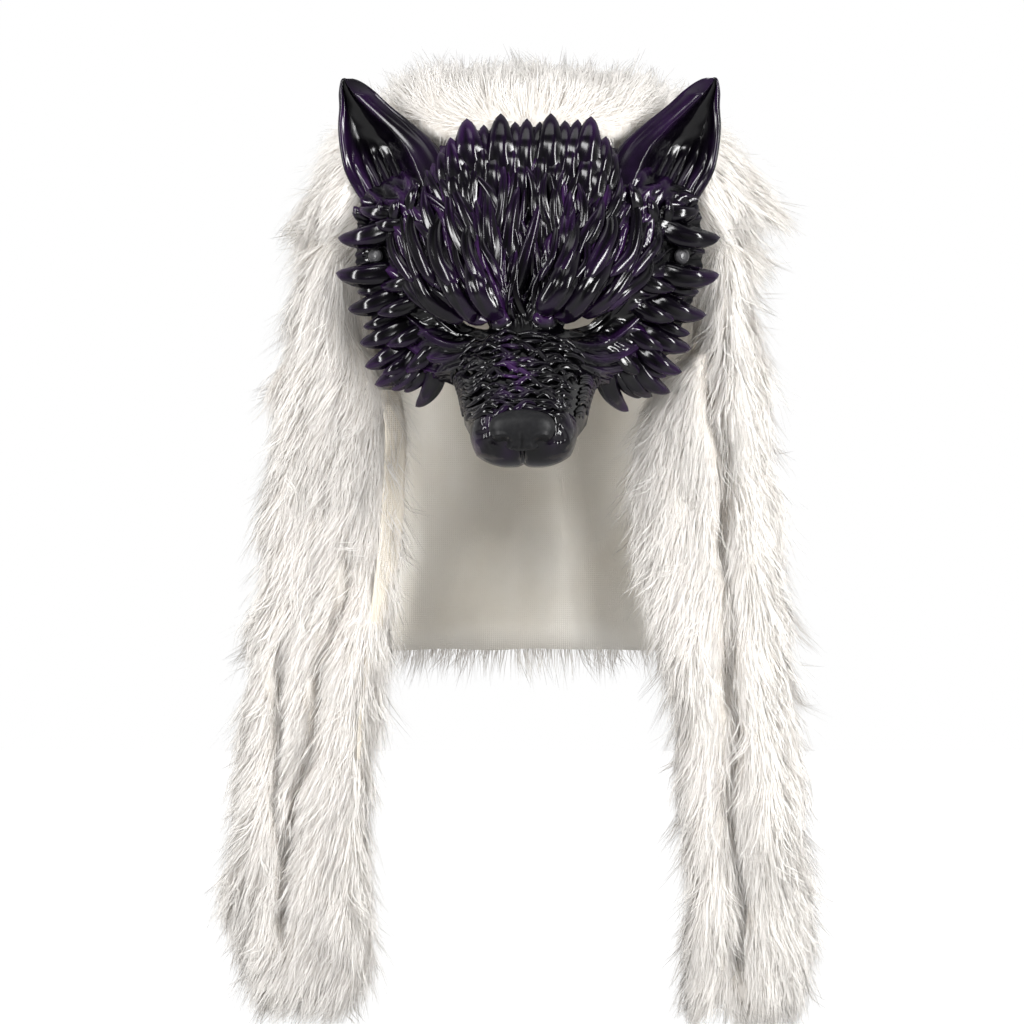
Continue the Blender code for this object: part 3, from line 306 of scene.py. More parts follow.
def fur_material(name, root, body, tip):
    """Strand colour from root to tip; the tone layer rises from a root toward 1 at a dark tip, and its
    dark brown near 0 is painted shade for strands rooted in the panels' folds.
    """
    mat, tree, shader = new_material(name, Roughness=0.62, Specular_IOR_Level=0.30)
    stops = [(0.0, (0.22, 0.18, 0.15)), (0.22, root), (0.42, body), (0.66, body), (1.0, tip)]
    ramp(tree, attribute(tree, "tone"), stops, shader.inputs["Base Color"])
    return mat


foam = foam_material()
nose_mat = grained_material("matte_nose", (0.005, 0.005, 0.006), (0.012, 0.012, 0.013), 420.0,
                            0.25, 0.0004, Roughness=0.46, Specular_IOR_Level=0.22)
rivet_mat = grained_material("rivet_black", (0.030, 0.029, 0.032), (0.055, 0.053, 0.058), 300.0,
                             0.05, 0.0002, Roughness=0.40, Coat_Weight=0.15)
inner_mat = grained_material("foam_inside", (0.012, 0.010, 0.014), (0.028, 0.022, 0.034), 160.0,
                             0.35, 0.0008, Roughness=0.75)
lining_mat = cloth_material("hood_lining", (0.87, 0.82, 0.73), (0.95, 0.92, 0.86))
facing_mat = cloth_material("facing_cloth", (0.74, 0.67, 0.56), (0.86, 0.80, 0.70))
fur_mat = fur_material("white_fur", (0.80, 0.74, 0.67), (0.955, 0.925, 0.885), (0.055, 0.048, 0.050))
under_mat = grained_material("under_fur", (0.60, 0.55, 0.49), (0.86, 0.83, 0.79), 260.0, 0.6, 0.002,
                             (1.0, 1.0, 0.12), Roughness=0.9, Sheen_Weight=0.3)

# The moulded face.
COLUMNS, STEPS = 312, 252
skin = face_grid(COLUMNS, STEPS)
far = widened(face_grid(97, 81), 0.020)
far_tree = tree_of(far.reshape(-1, 3), grid_faces(*far.shape[:2]))


def on_face(x, z):
    """The point of the face, or of its slope carried on, in front of a place, and its normal."""
    hit, normal, _, _ = far_tree.ray_cast(Vector((x, -1.0, z)), Vector((0, 1, 0)))
    if hit is None:
        near, normal, _, _ = far_tree.find_nearest(Vector((x, RIM_Y, z)))
        hit = Vector((x, near.y, z))
    if normal.y > 0:
        normal = -normal
    return np.array(hit), np.array(normal)


skin_at = skin.reshape(-1, 3)
skin_normals = grid_normals(skin).reshape(-1, 3)
height = np.zeros(len(skin_at))


def stroke(path, half_width, rise_root, rise_tip, grooves=2, groove=0.18, blunt=0.12,
           fat=0.5, phase=0.0, root=0.60, early=0.5):
    """Raise one lock along a path of points on the face, up to its full rise before its tip.

    The widths are of half the lock; root and blunt are shares of it at the two ends, grooves are how
    many run along it and groove how deep, fat rounds its section, and early is where it is full.
    """
    global height
    path = np.asarray(path, float)
    low = path.min(axis=0) - half_width * 1.3
    high = path.max(axis=0) + half_width * 1.3
    near = np.where(np.all((skin_at > low) & (skin_at < high), axis=1))[0]
    if len(near) == 0:
        return
    spots = skin_at[near]
    best = np.full(len(near), 9.0)
    along = np.zeros(len(near))
    side = np.zeros(len(near))
    count = len(path) - 1
    for i in range(count):
        a, b = path[i], path[i + 1]
        d = b - a
        length = max(np.linalg.norm(d), 1e-9)
        t = np.clip(((spots - a) @ d) / length ** 2, 0, 1)
        off = spots - (a + t[:, None] * d)
        dist = np.linalg.norm(off, axis=1)
        closer = dist < best
        best[closer] = dist[closer]
        along[closer] = (i + t[closer]) / count
        across = np.cross(skin_normals[near], d / length)
        side[closer] = np.sign(np.sum(off * across, axis=1))[closer]
    width = half_width * spline([[root], [0.96], [1.0], [0.80], [blunt]], along * 4)[:, 0]
    s = np.clip(best / np.maximum(width, 1e-6), 0, 1)
    inside = s < 1
    s = s[inside]
    t = along[inside]
    rise = rise_root + (rise_tip - rise_root) * np.clip(t / early, 0, 1) ** 0.8
    body = (1 - s ** 2) ** fat
    lines = np.cos(math.pi * grooves * s * side[inside] + phase + 1.2 * t)
    value = rise * body * (1 - groove + groove * lines * (1 - 0.5 * s))
    target = near[inside]
    height[target] = np.maximum(height[target], value)


# Which way the strands lie, in the photograph's pixels: place, then direction.
FLOW = [
    (524, 330, 0.0, -1.0), (524, 250, 0.0, -1.0), (524, 150, 0.0, -1.0), (565, 140, 0.10, -1.0),
    (600, 160, 0.30, -1.0), (560, 250, 0.10, -1.0), (585, 300, 0.25, -1.0),
    (600, 260, 0.22, -1.0), (640, 250, 0.38, -1.0), (640, 215, 0.5, -0.8),
    (668, 208, 0.95, -0.35), (690, 235, 1.0, -0.05), (668, 268, 1.0, -0.12),
    (700, 268, 1.0, 0.06), (655, 305, 1.0, -0.10), (695, 310, 1.0, 0.25),
    (640, 335, 1.0, 0.12), (680, 340, 0.9, 0.45), (615, 352, 0.95, 0.28),
    (655, 372, 0.65, 0.75), (622, 385, 0.45, 0.90), (590, 350, 1.0, 0.25),
    (560, 352, 1.0, 0.05), (545, 385, 1.0, 0.15), (575, 400, 0.8, 0.6), (585, 430, 0.3, 1.0),
]
flow_at = []
flow_dir = []
for x, y, dx, dy in FLOW:
    for side in (-1, 1):
        flow_at.append((side * (x - MIRROR_X) * PIXEL, (PIXEL_Z - y) * PIXEL))
        flow_dir.append((side * dx, -dy))
flow_at = np.array(flow_at)
flow_dir = unit(np.array(flow_dir))


def flow(x, z):
    """Which way the strands run at a place, from the directions given near it."""
    d2 = np.sum((flow_at - (x, z)) ** 2, axis=1)
    w = 1.0 / (d2 + 0.00002) ** 1.6
    return unit((flow_dir * w[:, None]).sum(axis=0))


def flow_path(x, z, length, steps, wave=0.0, phase=0.0):
    """A path on the face that follows the strands from a root."""
    spots = [np.array((x, z))]
    step = length / steps
    for i in range(steps):
        d = flow(*spots[-1])
        turn = wave * math.cos(phase + 2.2 * math.pi * i / steps)
        d = np.array((d[0] * math.cos(turn) - d[1] * math.sin(turn),
                      d[0] * math.sin(turn) + d[1] * math.cos(turn)))
        spots.append(spots[-1] + d * step)
    return [on_face(x, z)[0] for x, z in spots]


def photo_path(*spots, steps=14, lift=0.0):
    """A smooth path on the face through pixels of the photograph."""
    spots = np.array([px(x, y) for x, y in spots])
    line = spline(spots, np.linspace(0, len(spots) - 1, steps))
    path = []
    for x, z in line:
        point, normal = on_face(x, z)
        path.append(point + normal * lift)
    return path


def scatter(x0, x1, y0, y1, gap, seed, keep):
    """Evenly spread pixels of a region, with a little disorder."""
    draw = np.random.default_rng(seed)
    spots = []
    y = y0
    odd = 0
    while y <= y1:
        x = x0 + (gap * 0.5 if odd else 0.0)
        while x <= x1:
            sx = x + draw.uniform(-0.28, 0.28) * gap
            sy = y + draw.uniform(-0.28, 0.28) * gap
            if keep(sx, sy):
                spots.append((sx, sy))
            x += gap
        y += gap * 0.86
        odd = 1 - odd
    return spots


def mirrored_x(x):
    return abs(x - MIRROR_X)


def near_eye(x, y):
    """Distance measure from an eye opening: under 1 inside it."""
    dx, dy = mirrored_x(x) + MIRROR_X - EYE_PIXEL[0], y - EYE_PIXEL[1]
    along = dx * math.cos(EYE_TILT) - dy * math.sin(EYE_TILT)
    up = dx * math.sin(EYE_TILT) + dy * math.cos(EYE_TILT)
    return math.hypot(along / EYE_PIXEL_HALF[0], up / EYE_PIXEL_HALF[1])


def on_muzzle(x, y):
    return y > 335 and mirrored_x(x) < 66 and not (mirrored_x(x) > 52 and y < 372)


def on_high_brow(x, y):
    return y < 300 and mirrored_x(x) < 112


def off_muzzle(x, y):
    return not on_muzzle(x, y)


# Small strands everywhere first, then longer locks over them, then the named ones. The regions are
# pixels, from left to right and from the top down, then the gap between strands and a seed.
FINE_REGION = (345, 712, 118, 395, 9.5, 3)
LOCK_REGION = (350, 706, 122, 388, 14.0, 5)
for x, y in scatter(*FINE_REGION, off_muzzle):
    if near_eye(x, y) < 1.0 or on_high_brow(x, y):
        continue
    length = rng.uniform(0.012, 0.018)
    stroke(flow_path(*px(x, y), length, 6, 0.35, rng.uniform(0, 6)), rng.uniform(0.0013, 0.0019),
           0.0002, rng.uniform(0.0007, 0.0013), 1, 0.12)
for x, y in scatter(*LOCK_REGION, off_muzzle):
    if near_eye(x, y) < 1.5:
        continue
    if mirrored_x(x) < 26 and 215 < y < 318:
        length, width, rise = rng.uniform(0.020, 0.028), rng.uniform(0.0020, 0.0027), 0.0028
    elif on_high_brow(x, y):
        length, width, rise = rng.uniform(0.030, 0.042), rng.uniform(0.0042, 0.0056), 0.0050
    else:
        length, width, rise = rng.uniform(0.018, 0.026), rng.uniform(0.0030, 0.0042), 0.0038
    stroke(flow_path(*px(x, y), length, 9, 0.40, rng.uniform(0, 6)), width, -0.0010,
           rise * rng.uniform(0.62, 1.15), 2, 0.15, early=0.75)

# Places of the strands down the sides of the muzzle, by section and column.
muzzle_side = []
for v in np.linspace(8.6, 10.5, 13):
    for side in (-1, 1):
        for u in (1.75, 2.3):
            muzzle_side.append((v + rng.uniform(-0.12, 0.12), side, u + rng.uniform(-0.1, 0.1)))
coarse = face_grid(81, 121)


def surface_uv(u, v):
    """A point of the face by section number v and column u from -4 to 4."""
    r = np.clip(v / 12 * 120, 0, 119.99)
    c = np.clip((u + 4) / 8 * 80, 0, 79.99)
    i, j = int(r), int(c)
    fr, fc = r - i, c - j
    return ((coarse[i, j] * (1 - fr) + coarse[i + 1, j] * fr) * (1 - fc)
            + (coarse[i, j + 1] * (1 - fr) + coarse[i + 1, j + 1] * fr) * fc)


def both(*spots):
    """The same pixels on the right, and mirrored about the middle of the face."""
    return [spots, tuple((2 * MIRROR_X - x, y) for x, y in spots)]


# Named locks: half width in pixels, rise at root and tip in millimetres, grooves, the share of the
# width at the root, then pixels from root to tip. The brows end in round lobes over the eyes.
NAMED = [
    (9.5, 2.0, 5.6, 3, 0.6, (558, 250), (564, 224), (562, 196), (566, 172)),
    (9.5, 2.0, 5.6, 3, 0.6, (592, 246), (600, 222), (604, 196), (612, 168)),
    (8.0, 1.6, 4.8, 3, 0.6, (622, 240), (632, 220), (640, 202), (652, 186)),
    (8.0, 1.4, 5.0, 3, 0.6, (538, 236), (541, 210), (538, 184), (541, 160)),
    (9.0, 1.6, 5.2, 3, 0.6, (580, 214), (584, 190), (582, 168), (588, 146)),
    (8.5, 1.4, 5.0, 3, 0.6, (549, 196), (553, 172), (551, 152), (556, 134)),
    (7.5, 1.4, 4.6, 2, 0.6, (530, 186), (533, 164), (530, 148), (531, 132)),
    (7.5, 1.6, 4.6, 3, 0.6, (606, 190), (610, 172), (606, 158), (606, 142)),
    (4.2, 1.0, 3.0, 2, 0.6, (526, 300), (536, 276), (533, 252), (528, 232)),
    (3.4, 1.0, 3.2, 1, 0.6, (527, 316), (541, 290), (544, 264), (538, 240)),
    (12.5, 7.8, 6.2, 4, 0.98, (546, 319), (556, 296), (566, 268), (568, 238)),
    (11.5, 7.0, 6.2, 4, 0.98, (566, 313), (580, 290), (592, 262), (600, 230)),
    (10.5, 6.0, 6.0, 4, 0.95, (586, 299), (602, 280), (616, 254), (626, 224)),
    (10.0, 4.8, 5.6, 4, 0.95, (607, 287), (622, 270), (634, 244), (642, 212)),
    (7.5, 3.4, 4.6, 3, 0.9, (626, 276), (640, 260), (648, 238), (652, 214)),
    (2.2, 1.8, 2.2, 0, 0.8, (566, 331), (588, 333), (604, 324), (619, 309), (633, 297), (643, 280)),
    (5.0, 1.6, 3.4, 2, 0.6, (572, 342), (592, 346), (612, 340), (632, 324), (648, 306)),
    (6.0, 1.4, 4.0, 3, 0.6, (578, 352), (598, 360), (620, 356), (642, 342), (662, 330)),
    (5.5, 1.2, 4.0, 3, 0.6, (586, 366), (604, 372), (622, 368), (642, 360), (660, 362)),
    (5.0, 1.2, 3.8, 2, 0.6, (598, 378), (612, 380), (626, 380), (640, 392)),
    (6.0, 1.2, 4.0, 3, 0.6, (642, 300), (662, 292), (680, 290), (700, 296)),
    (6.0, 1.2, 4.0, 3, 0.6, (650, 276), (666, 268), (684, 268), (702, 272)),
    (6.0, 1.4, 4.2, 3, 0.6, (650, 240), (666, 230), (682, 228), (700, 232)),
    (6.0, 1.2, 4.0, 3, 0.6, (652, 322), (668, 316), (684, 318), (698, 324)),
    (6.0, 1.2, 4.0, 3, 0.6, (644, 340), (662, 338), (676, 344), (688, 356)),
]
for half_width, root_rise, tip_rise, lines, root, *course in NAMED:
    for spots in both(*course):
        stroke(photo_path(*spots, steps=18), half_width * PIXEL, root_rise * 0.001,
               tip_rise * 0.001, lines, 0.16, 0.14, 0.5, rng.uniform(0, 1), root)


def eye_axes(points, side):
    """Places along an eye opening and up across it."""
    dx, dz = (points[:, 0] - side * EYE_X) * side, points[:, 2] - EYE_Z
    return (dx * math.cos(EYE_TILT) + dz * math.sin(EYE_TILT),
            -dx * math.sin(EYE_TILT) + dz * math.cos(EYE_TILT))


# The eye socket sinks under and beside the opening, and the relief fades toward it.
opening = np.full(len(skin_at), 9.0)
above = np.zeros(len(skin_at), bool)
for side in (-1, 1):
    along, up = eye_axes(skin_at, side)
    half_up = EYE_HALF_OPENING * (1 - 0.35 * np.minimum(np.abs(along) / EYE_HALF_LENGTH, 1))
    opening = np.minimum(opening, np.hypot(along / EYE_HALF_LENGTH, up / half_up))
    above |= (skin_at[:, 0] * side > 0) & (up > 0)
height *= np.where(above, ease(opening, 1.0, 0.16), ease(opening, 1.0, 0.5)) ** 0.6
height -= 0.0020 * bell((opening - 1.9) / 0.40) * ~above

# Round the rivets the skin is smooth.
for side in (-1, 1):
    apart = np.hypot(skin_at[:, 0] - side * RIVET_X, skin_at[:, 2] - RIVET_Z)
    height *= ease(apart, RIVET_SEAT, 0.0025) * 0.94 + 0.06

# The nose pad's seat and the skin below it stay smooth.
around = np.hypot((skin_at[:, 0] - NOSE_AT[0]) / NOSE_SEAT[0],
                  (skin_at[:, 2] - NOSE_AT[2]) / NOSE_SEAT[1])
height *= ease(around, 0.95, 0.25)
height -= 0.0022 * (around < 0.9)
height *= 1 - 0.85 * ease(-skin_at[:, 2], 0.190, 0.006)

shaped = height.reshape(STEPS, COLUMNS)
soft = shaped.copy()
soft[1:-1, 1:-1] = (4 * shaped[1:-1, 1:-1] + shaped[:-2, 1:-1] + shaped[2:, 1:-1]
                    + shaped[1:-1, :-2] + shaped[1:-1, 2:]) / 8
height = soft.ravel()
raised = skin_at + skin_normals * (height[:, None] - SKIN_SINK)

# The opening is cut out, and the skin's edge there is drawn to the opening's outline.
quads = grid_faces(STEPS, COLUMNS)
quads = quads[~np.all(opening[quads] < 1.0, axis=1)]
used = np.zeros(len(skin_at), bool)
used[quads.ravel()] = True
for i in np.where(used & (opening < 1.0))[0]:
    cx = EYE_X if raised[i, 0] > 0 else -EYE_X
    push = 1.0 / max(opening[i], 0.2)
    raised[i, 0] = cx + (skin_at[i, 0] - cx) * push
    raised[i, 2] = EYE_Z + (skin_at[i, 2] - EYE_Z) * push

# All round its edges the skin turns back by the wall.
pairs = {}
for quad in quads:
    for a, b in zip(quad, np.roll(quad, -1)):
        if (b, a) in pairs:
            del pairs[(b, a)]
        else:
            pairs[(a, b)] = 1
edge = np.array(list(pairs.keys()))
lip_ids = np.unique(edge)
where = {v: i for i, v in enumerate(lip_ids)}
rim = raised[lip_ids]
back_points = rim - skin_normals[lip_ids] * (WALL + height[lip_ids][:, None] - 0.0006)
eye_lips = opening[lip_ids] < 1.6
back_points[eye_lips, 1] = np.maximum(back_points[eye_lips, 1], rim[eye_lips, 1] + 0.0045)
start = len(skin_at)
rim_quads = np.array([(b, a, start + where[a], start + where[b]) for a, b in edge])
# Painted shade from the relief: little in the grooves, which turn black, more on the raised strands, where
# the foam's purple shows; the turned-back wall gets none.
relief_shade = np.clip(height / 0.0052, 0, 1) ** 0.8 * 0.95 + 0.05
face_skin = make_mesh("face_skin", np.concatenate([raised, back_points]), [quads, rim_quads])
paint(face_skin, "relief_shade", np.concatenate([relief_shade, np.zeros(len(lip_ids))]))
face_skin.data.materials.append(foam)
keep = bmesh.new()
keep.from_mesh(face_skin.data)
bmesh.ops.delete(keep, geom=[v for v in keep.verts if not v.link_faces], context="VERTS")
keep.to_mesh(face_skin.data)
keep.free()

# Inside of the shell.
INNER_COLUMNS, INNER_STEPS = 121, 101
inner = face_grid(INNER_COLUMNS, INNER_STEPS)
hollow = (inner - grid_normals(inner) * WALL).reshape(-1, 3)
gone = np.full(len(hollow), 9.0)
for side in (-1, 1):
    along, up = eye_axes(hollow, side)
    gone = np.minimum(gone, np.hypot(along / 0.0175, up / 0.0068))
inner_quads = grid_faces(INNER_STEPS, INNER_COLUMNS)[:, ::-1]
inner_quads = inner_quads[~np.any(gone[inner_quads] < 1.0, axis=1)]
face_inside = make_mesh("face_inside", hollow, inner_quads)
face_inside.data.materials.append(inner_mat)


# Tufts that stand past the edge.
def tuft(path, outward, width, depth, grooves=5, sides=20, sink=0.80, blunt=False):
    """One thick pointed lock with grooves along it; its root goes down into the skin."""
    steps = len(path)
    path = np.asarray(path, float)
    outward = unit(outward)
    t = np.linspace(0, 1, steps)
    path = path + outward * (depth * (0.20 - sink * np.clip(1 - t / 0.65, 0, 1) ** 1.2))[:, None]
    tangent = unit(np.gradient(path, axis=0))
    across = unit(np.cross(tangent, outward))
    lift = unit(np.cross(across, tangent))
    lift *= np.sign(np.sum(lift * outward, axis=1))[:, None]
    taper = spline([[0.86], [1.0], [0.98], [0.84], [0.58], [0.24]], t * 5)[:, 0]
    taper = taper * np.sqrt(1 - ease(t, 0.88, 0.12) ** 2)
    if blunt:
        taper = spline([[0.40], [0.72], [0.94], [1.0], [0.92], [0.70]], t * 5)[:, 0]
        taper = taper * np.sqrt(1 - ease(t, 0.80, 0.20) ** 2)
    taper[-1] = 0.03
    a = np.linspace(0, 2 * math.pi, sides, endpoint=False)
    upper = np.sin(a)[None, :] > 0
    wave = np.abs(np.sin(grooves * 0.5 * a[None, :] + 1.8 * t[:, None] + grooves))
    cut = 0.26 * (1 - np.clip(wave / 0.62, 0, 1)) * np.clip((0.92 - t) / 0.3, 0, 1)[:, None] * upper
    groove = 1 - cut
    ring = (across[:, None, :] * (0.5 * width * np.cos(a))[None, :, None]
            + lift[:, None, :] * (0.5 * depth * np.sin(a))[None, :, None])
    points = path[:, None, :] + ring * (taper[:, None] * groove)[:, :, None]
    shade = (0.72 - 2.4 * cut) * (0.35 + 0.65 * upper) * (0.35 + 0.65 * t[:, None])
    return points.reshape(-1, 3), grid_faces(steps, sides, True), np.clip(shade, 0, 1).ravel()


def facing_out(path, forward):
    """The face's normal at each point of a path, tilted forward by the amount given."""
    return np.array([unit(on_face(x, z)[1] - np.array((0, forward, 0))) for x, _, z in path])


def gather(name, bodies, mat):
    """One piece out of many bodies, each with its points, its faces and the painted shade of each point.
    """
    points, quads, shades = zip(*bodies)
    starts = np.cumsum([0] + [len(p) for p in points[:-1]])
    obj = make_mesh(name, np.concatenate(points), np.concatenate([q + n for q, n in zip(quads, starts)]))
    paint(obj, "relief_shade", np.concatenate(shades))
    obj.data.materials.append(mat)
    return obj


def tip_tuft(x, y, heading, length, width, tip_y, curl, grooves=5, flat=0.72, sides=22):
    """A tuft from the pixel of its tip: heading in degrees anticlockwise from +x, length, width."""
    a = math.radians(heading)
    forward = np.array((math.cos(a), math.sin(a)))
    aside = np.array((-forward[1], forward[0]))
    tip = px(x, y)
    root, normal = on_face(*(tip - length * forward))
    end = np.array((tip[0], tip_y, tip[1]))
    bulge = np.array((aside[0], 0, aside[1])) * curl * length
    outward = unit(0.45 * normal + np.array((0, -1.0, 0)))
    middle = 0.5 * (root + end) + bulge + outward * 0.004
    t = np.linspace(0, 1, 18)[:, None]
    path = (1 - t) ** 2 * root + 2 * t * (1 - t) * middle + t ** 2 * end
    return tuft(path, np.repeat(outward[None], 18, axis=0), width, width * flat, grooves, sides)


# Tufts at the edge: the tip's pixel, heading, length and width in pixels, and how far they bow.
SIDE_TUFTS = [
    (357, 208, 176, 42, 16, 0.10), (337, 237, 194, 62, 25, 0.16), (335, 272, 183, 60, 25, 0.12),
    (356, 291, 196, 36, 15, 0.10), (347, 308, 200, 56, 23, 0.14), (362, 326, 204, 40, 15, 0.12),
    (359, 342, 204, 54, 23, 0.14), (364, 366, 214, 52, 21, 0.16), (374, 384, 222, 54, 21, 0.18),
    (391, 389, 232, 46, 19, 0.18), (415, 406, 246, 48, 20, 0.24), (403, 391, 226, 34, 13, 0.14),
    (382, 373, 212, 36, 14, 0.12), (432, 392, 250, 28, 12, 0.16), (372, 224, 182, 34, 14, 0.08),
    (376, 312, 198, 44, 17, 0.12), (386, 345, 208, 44, 17, 0.14), (404, 372, 222, 40, 16, 0.14),
    (380, 286, 192, 40, 16, 0.10), (428, 378, 232, 34, 13, 0.14),
    (699, 209, 4, 42, 16, -0.10), (719, 237, -12, 62, 25, -0.16), (718, 274, -3, 60, 25, -0.12),
    (698, 291, -16, 36, 15, -0.10), (705, 314, -18, 56, 23, -0.14), (689, 333, -22, 40, 15, -0.12),
    (690, 348, -24, 54, 23, -0.14), (681, 372, -34, 52, 21, -0.16), (669, 392, -44, 54, 21, -0.18),
    (651, 396, -50, 46, 19, -0.18), (627, 411, -66, 48, 20, -0.24), (640, 397, -48, 34, 13, -0.14),
    (666, 376, -34, 36, 14, -0.12), (606, 393, -70, 28, 12, -0.16), (684, 224, -2, 34, 14, -0.08),
    (676, 318, -18, 44, 17, -0.12), (666, 349, -28, 44, 17, -0.14), (644, 376, -42, 40, 16, -0.14),
    (676, 288, -12, 40, 16, -0.10), (618, 381, -52, 34, 13, -0.14),
]
CROWN_TUFTS = [
    (451, 138, 104, 62, 20, 0.04), (467, 119, 98, 74, 29, 0.04), (484, 125, 96, 66, 20, 0.05),
    (501, 114, 92, 78, 27, 0.02), (515, 122, 90, 64, 20, -0.04), (527, 119, 90, 74, 23, 0.0),
    (540, 122, 92, 64, 19, 0.04), (551, 114, 88, 78, 27, -0.02), (565, 121, 86, 66, 22, -0.05),
    (578, 120, 86, 72, 22, 0.03), (591, 117, 82, 74, 27, -0.04), (606, 137, 78, 64, 21, -0.04),
    (462, 150, 104, 58, 19, 0.06), (479, 139, 95, 60, 18, -0.05), (494, 147, 96, 64, 21, 0.07),
    (512, 137, 88, 58, 16, -0.06), (524, 151, 92, 62, 19, 0.06), (541, 142, 91, 60, 18, -0.06),
    (557, 150, 88, 64, 21, 0.07), (574, 138, 87, 58, 17, 0.05), (588, 148, 84, 62, 21, -0.07),
    (601, 157, 78, 56, 19, -0.05), (451, 163, 106, 54, 18, 0.05),
    (440, 152, 108, 48, 17, 0.04), (616, 154, 72, 48, 17, -0.04),
]
bodies = []
for x, y, heading, length, width, bow in SIDE_TUFTS:
    tip_y = -0.093 if 366 < x < 682 and y < 382 else -0.084
    bodies.append(tip_tuft(x, y, heading, length * PIXEL, 1.10 * width * PIXEL, tip_y, 1.4 * bow,
                           5 if width > 18 else 3))
for x, y, heading, length, width, bow in CROWN_TUFTS:
    tip_y = -0.105 if y > 136 and 445 < x < 603 else -0.100
    width = width * 1.27
    bodies.append(tip_tuft(x, y, heading, length * PIXEL, width * PIXEL, tip_y, bow,
                           6 if width > 20 else 4, 0.52, 22))
# Small tufts over the roots of the ears.
for x, y, tx, ty, width in [(655, 222, 646, 200, 0.009), (668, 224, 664, 200, 0.008),
                            (640, 214, 628, 186, 0.009), (682, 222, 694, 204, 0.008),
                            (392, 222, 402, 200, 0.009), (380, 224, 384, 200, 0.008),
                            (408, 214, 420, 186, 0.009), (366, 222, 354, 204, 0.008)]:
    path = photo_path((x, y), ((x + tx) / 2, (y + ty) / 2), (tx, ty), steps=16, lift=0.0025)
    bodies.append(tuft(path, facing_out(path, 0), width, width * 0.8, 3, 16))
edge_tufts = gather("edge_tufts", bodies, foam)

# Rows of locks cover the forehead, each over the root of the one behind it.
draw = np.random.default_rng(21)
locks = []
row = 0
for y in np.arange(154, 300, 15.0):
    reach = 104 if y < 200 else 118 - 0.25 * (y - 200)
    for x in np.arange(-reach + (10 if row % 2 else 0), reach + 1, 19.0):
        spot_x = MIRROR_X + x + draw.uniform(-7, 7)
        spot_y = y + draw.uniform(-9, 9) + 0.0012 * x * x
        if y > 222 and abs(x) > 22:
            continue
        a, b = px(spot_x, spot_y)
        along = flow(a, b)
        heading = math.degrees(math.atan2(along[1], along[0])) + draw.uniform(-13, 13)
        fine = abs(x) < 24 and y > 212
        length = min(draw.uniform(42, 62), 322 - spot_y) if fine else draw.uniform(62, 104)
        width = draw.uniform(5.5, 9) if fine else draw.uniform(8, 18)
        point, normal = on_face(a, b)
        locks.append(tip_tuft(spot_x, spot_y, heading, length * PIXEL, width * PIXEL,
                              point[1] - draw.uniform(0.0014, 0.0044), draw.uniform(-0.28, 0.28),
                              3 if width < 12 else 6, 0.58, 22))
    row += 1
forehead_locks = gather("forehead_locks", locks, foam)

# The brows end in fat round lobes that hang over the eyes, with strands laid over them:
# pixels from the upper end down, and the width.
BROW_LOBES = [
    ((640, 236), (633, 260), (611, 292), (580, 315), 21),
    ((612, 230), (604, 258), (584, 292), (554, 322), 29),
    ((580, 226), (574, 258), (560, 290), (540, 316), 29),
    ((652, 250), (644, 270), (624, 292), (600, 307), 16),
]
BROW_STRANDS = [
    ((556, 210), (561, 236), (554, 262), (545, 284), 9),
    ((570, 204), (577, 230), (572, 258), (558, 284), 17),
    ((590, 214), (590, 240), (584, 262), (572, 284), 9),
    ((601, 198), (608, 226), (602, 254), (584, 284), 20),
    ((620, 208), (618, 232), (611, 254), (598, 276), 10),
    ((630, 194), (634, 222), (626, 250), (608, 278), 17),
    ((646, 208), (643, 232), (636, 254), (624, 274), 10),
    ((655, 212), (654, 236), (645, 258), (628, 278), 13),
    ((597, 266), (590, 282), (579, 296), (566, 306), 8),
    ((578, 270), (570, 284), (560, 297), (550, 306), 7),
    ((624, 270), (613, 282), (601, 292), (589, 299), 8),
]
lobes = []
for table, low, high, thick, lines, sides in ((BROW_LOBES, 0.0000, 0.0044, 0.66, 5, 34),
                                              (BROW_STRANDS, 0.0024, 0.0050, 0.60, 5, 26)):
    for *spots, width in table:
        for pair in both(*spots):
            sag = 6 if pair[0][0] < MIDDLE_X else 0
            shifted = [(x + draw.uniform(-3.5, 3.5), y + draw.uniform(-4, 4) + sag) for x, y in pair[:-1]]
            shifted.append((pair[-1][0], pair[-1][1] + sag))
            path = photo_path(*shifted, steps=22)
            outward = facing_out(path, 0.6)
            path = np.array(path) + outward * np.linspace(low, high, 22)[:, None]
            ledge = path[15, 1] + 0.0006 * np.arange(-15, 7)
            path[16:, 1] = np.minimum(path[16:, 1], ledge[16:])
            size = width * PIXEL * draw.uniform(0.90, 1.10)
            lobes.append(tuft(path, outward, size, size * thick, lines, sides, 0.75, True))
brows = gather("brows", lobes, foam)

# Ears, in metres.
EAR_HEIGHT = 0.081
EAR_TIP_Z = 0.017
EAR_HALF_SPAN = 0.114
EAR_WALL = 0.0042
EAR_CUP = 0.0175
EAR_FLANK = 0.0066
# Levels of an ear from top to bottom, as shares of the height, of the half span at the outer and
# inner edge, of the mask's depth at the inner edge, and of the cup's depth.
EAR_SECTIONS = {
    "tip":     (1.000, 0.982, 0.934, 0.055, 0.00),
    "cap":     (0.985, 0.994, 0.900, 0.056, 0.02),
    "point":   (0.930, 0.998, 0.842, 0.065, 0.08),
    "upper":   (0.790, 0.993, 0.735, 0.090, 0.32),
    "middle":  (0.640, 1.000, 0.600, 0.118, 0.64),
    "broad":   (0.480, 0.991, 0.478, 0.160, 0.90),
    "lower":   (0.300, 0.965, 0.415, 0.220, 0.70),
    "root":    (0.100, 0.890, 0.405, 0.280, 0.36),
    "buried":  (0.000, 0.840, 0.420, 0.300, 0.14),
}
# Where the crest between flank and bowl runs, from -1 at the outer edge to 1 at the inner one.
EAR_CREST = {0.00: 0.50, 0.10: 0.45, 0.30: 0.38, 0.48: 0.34, 0.64: 0.28, 0.79: 0.06, 0.93: -0.35,
             1.00: -0.60}


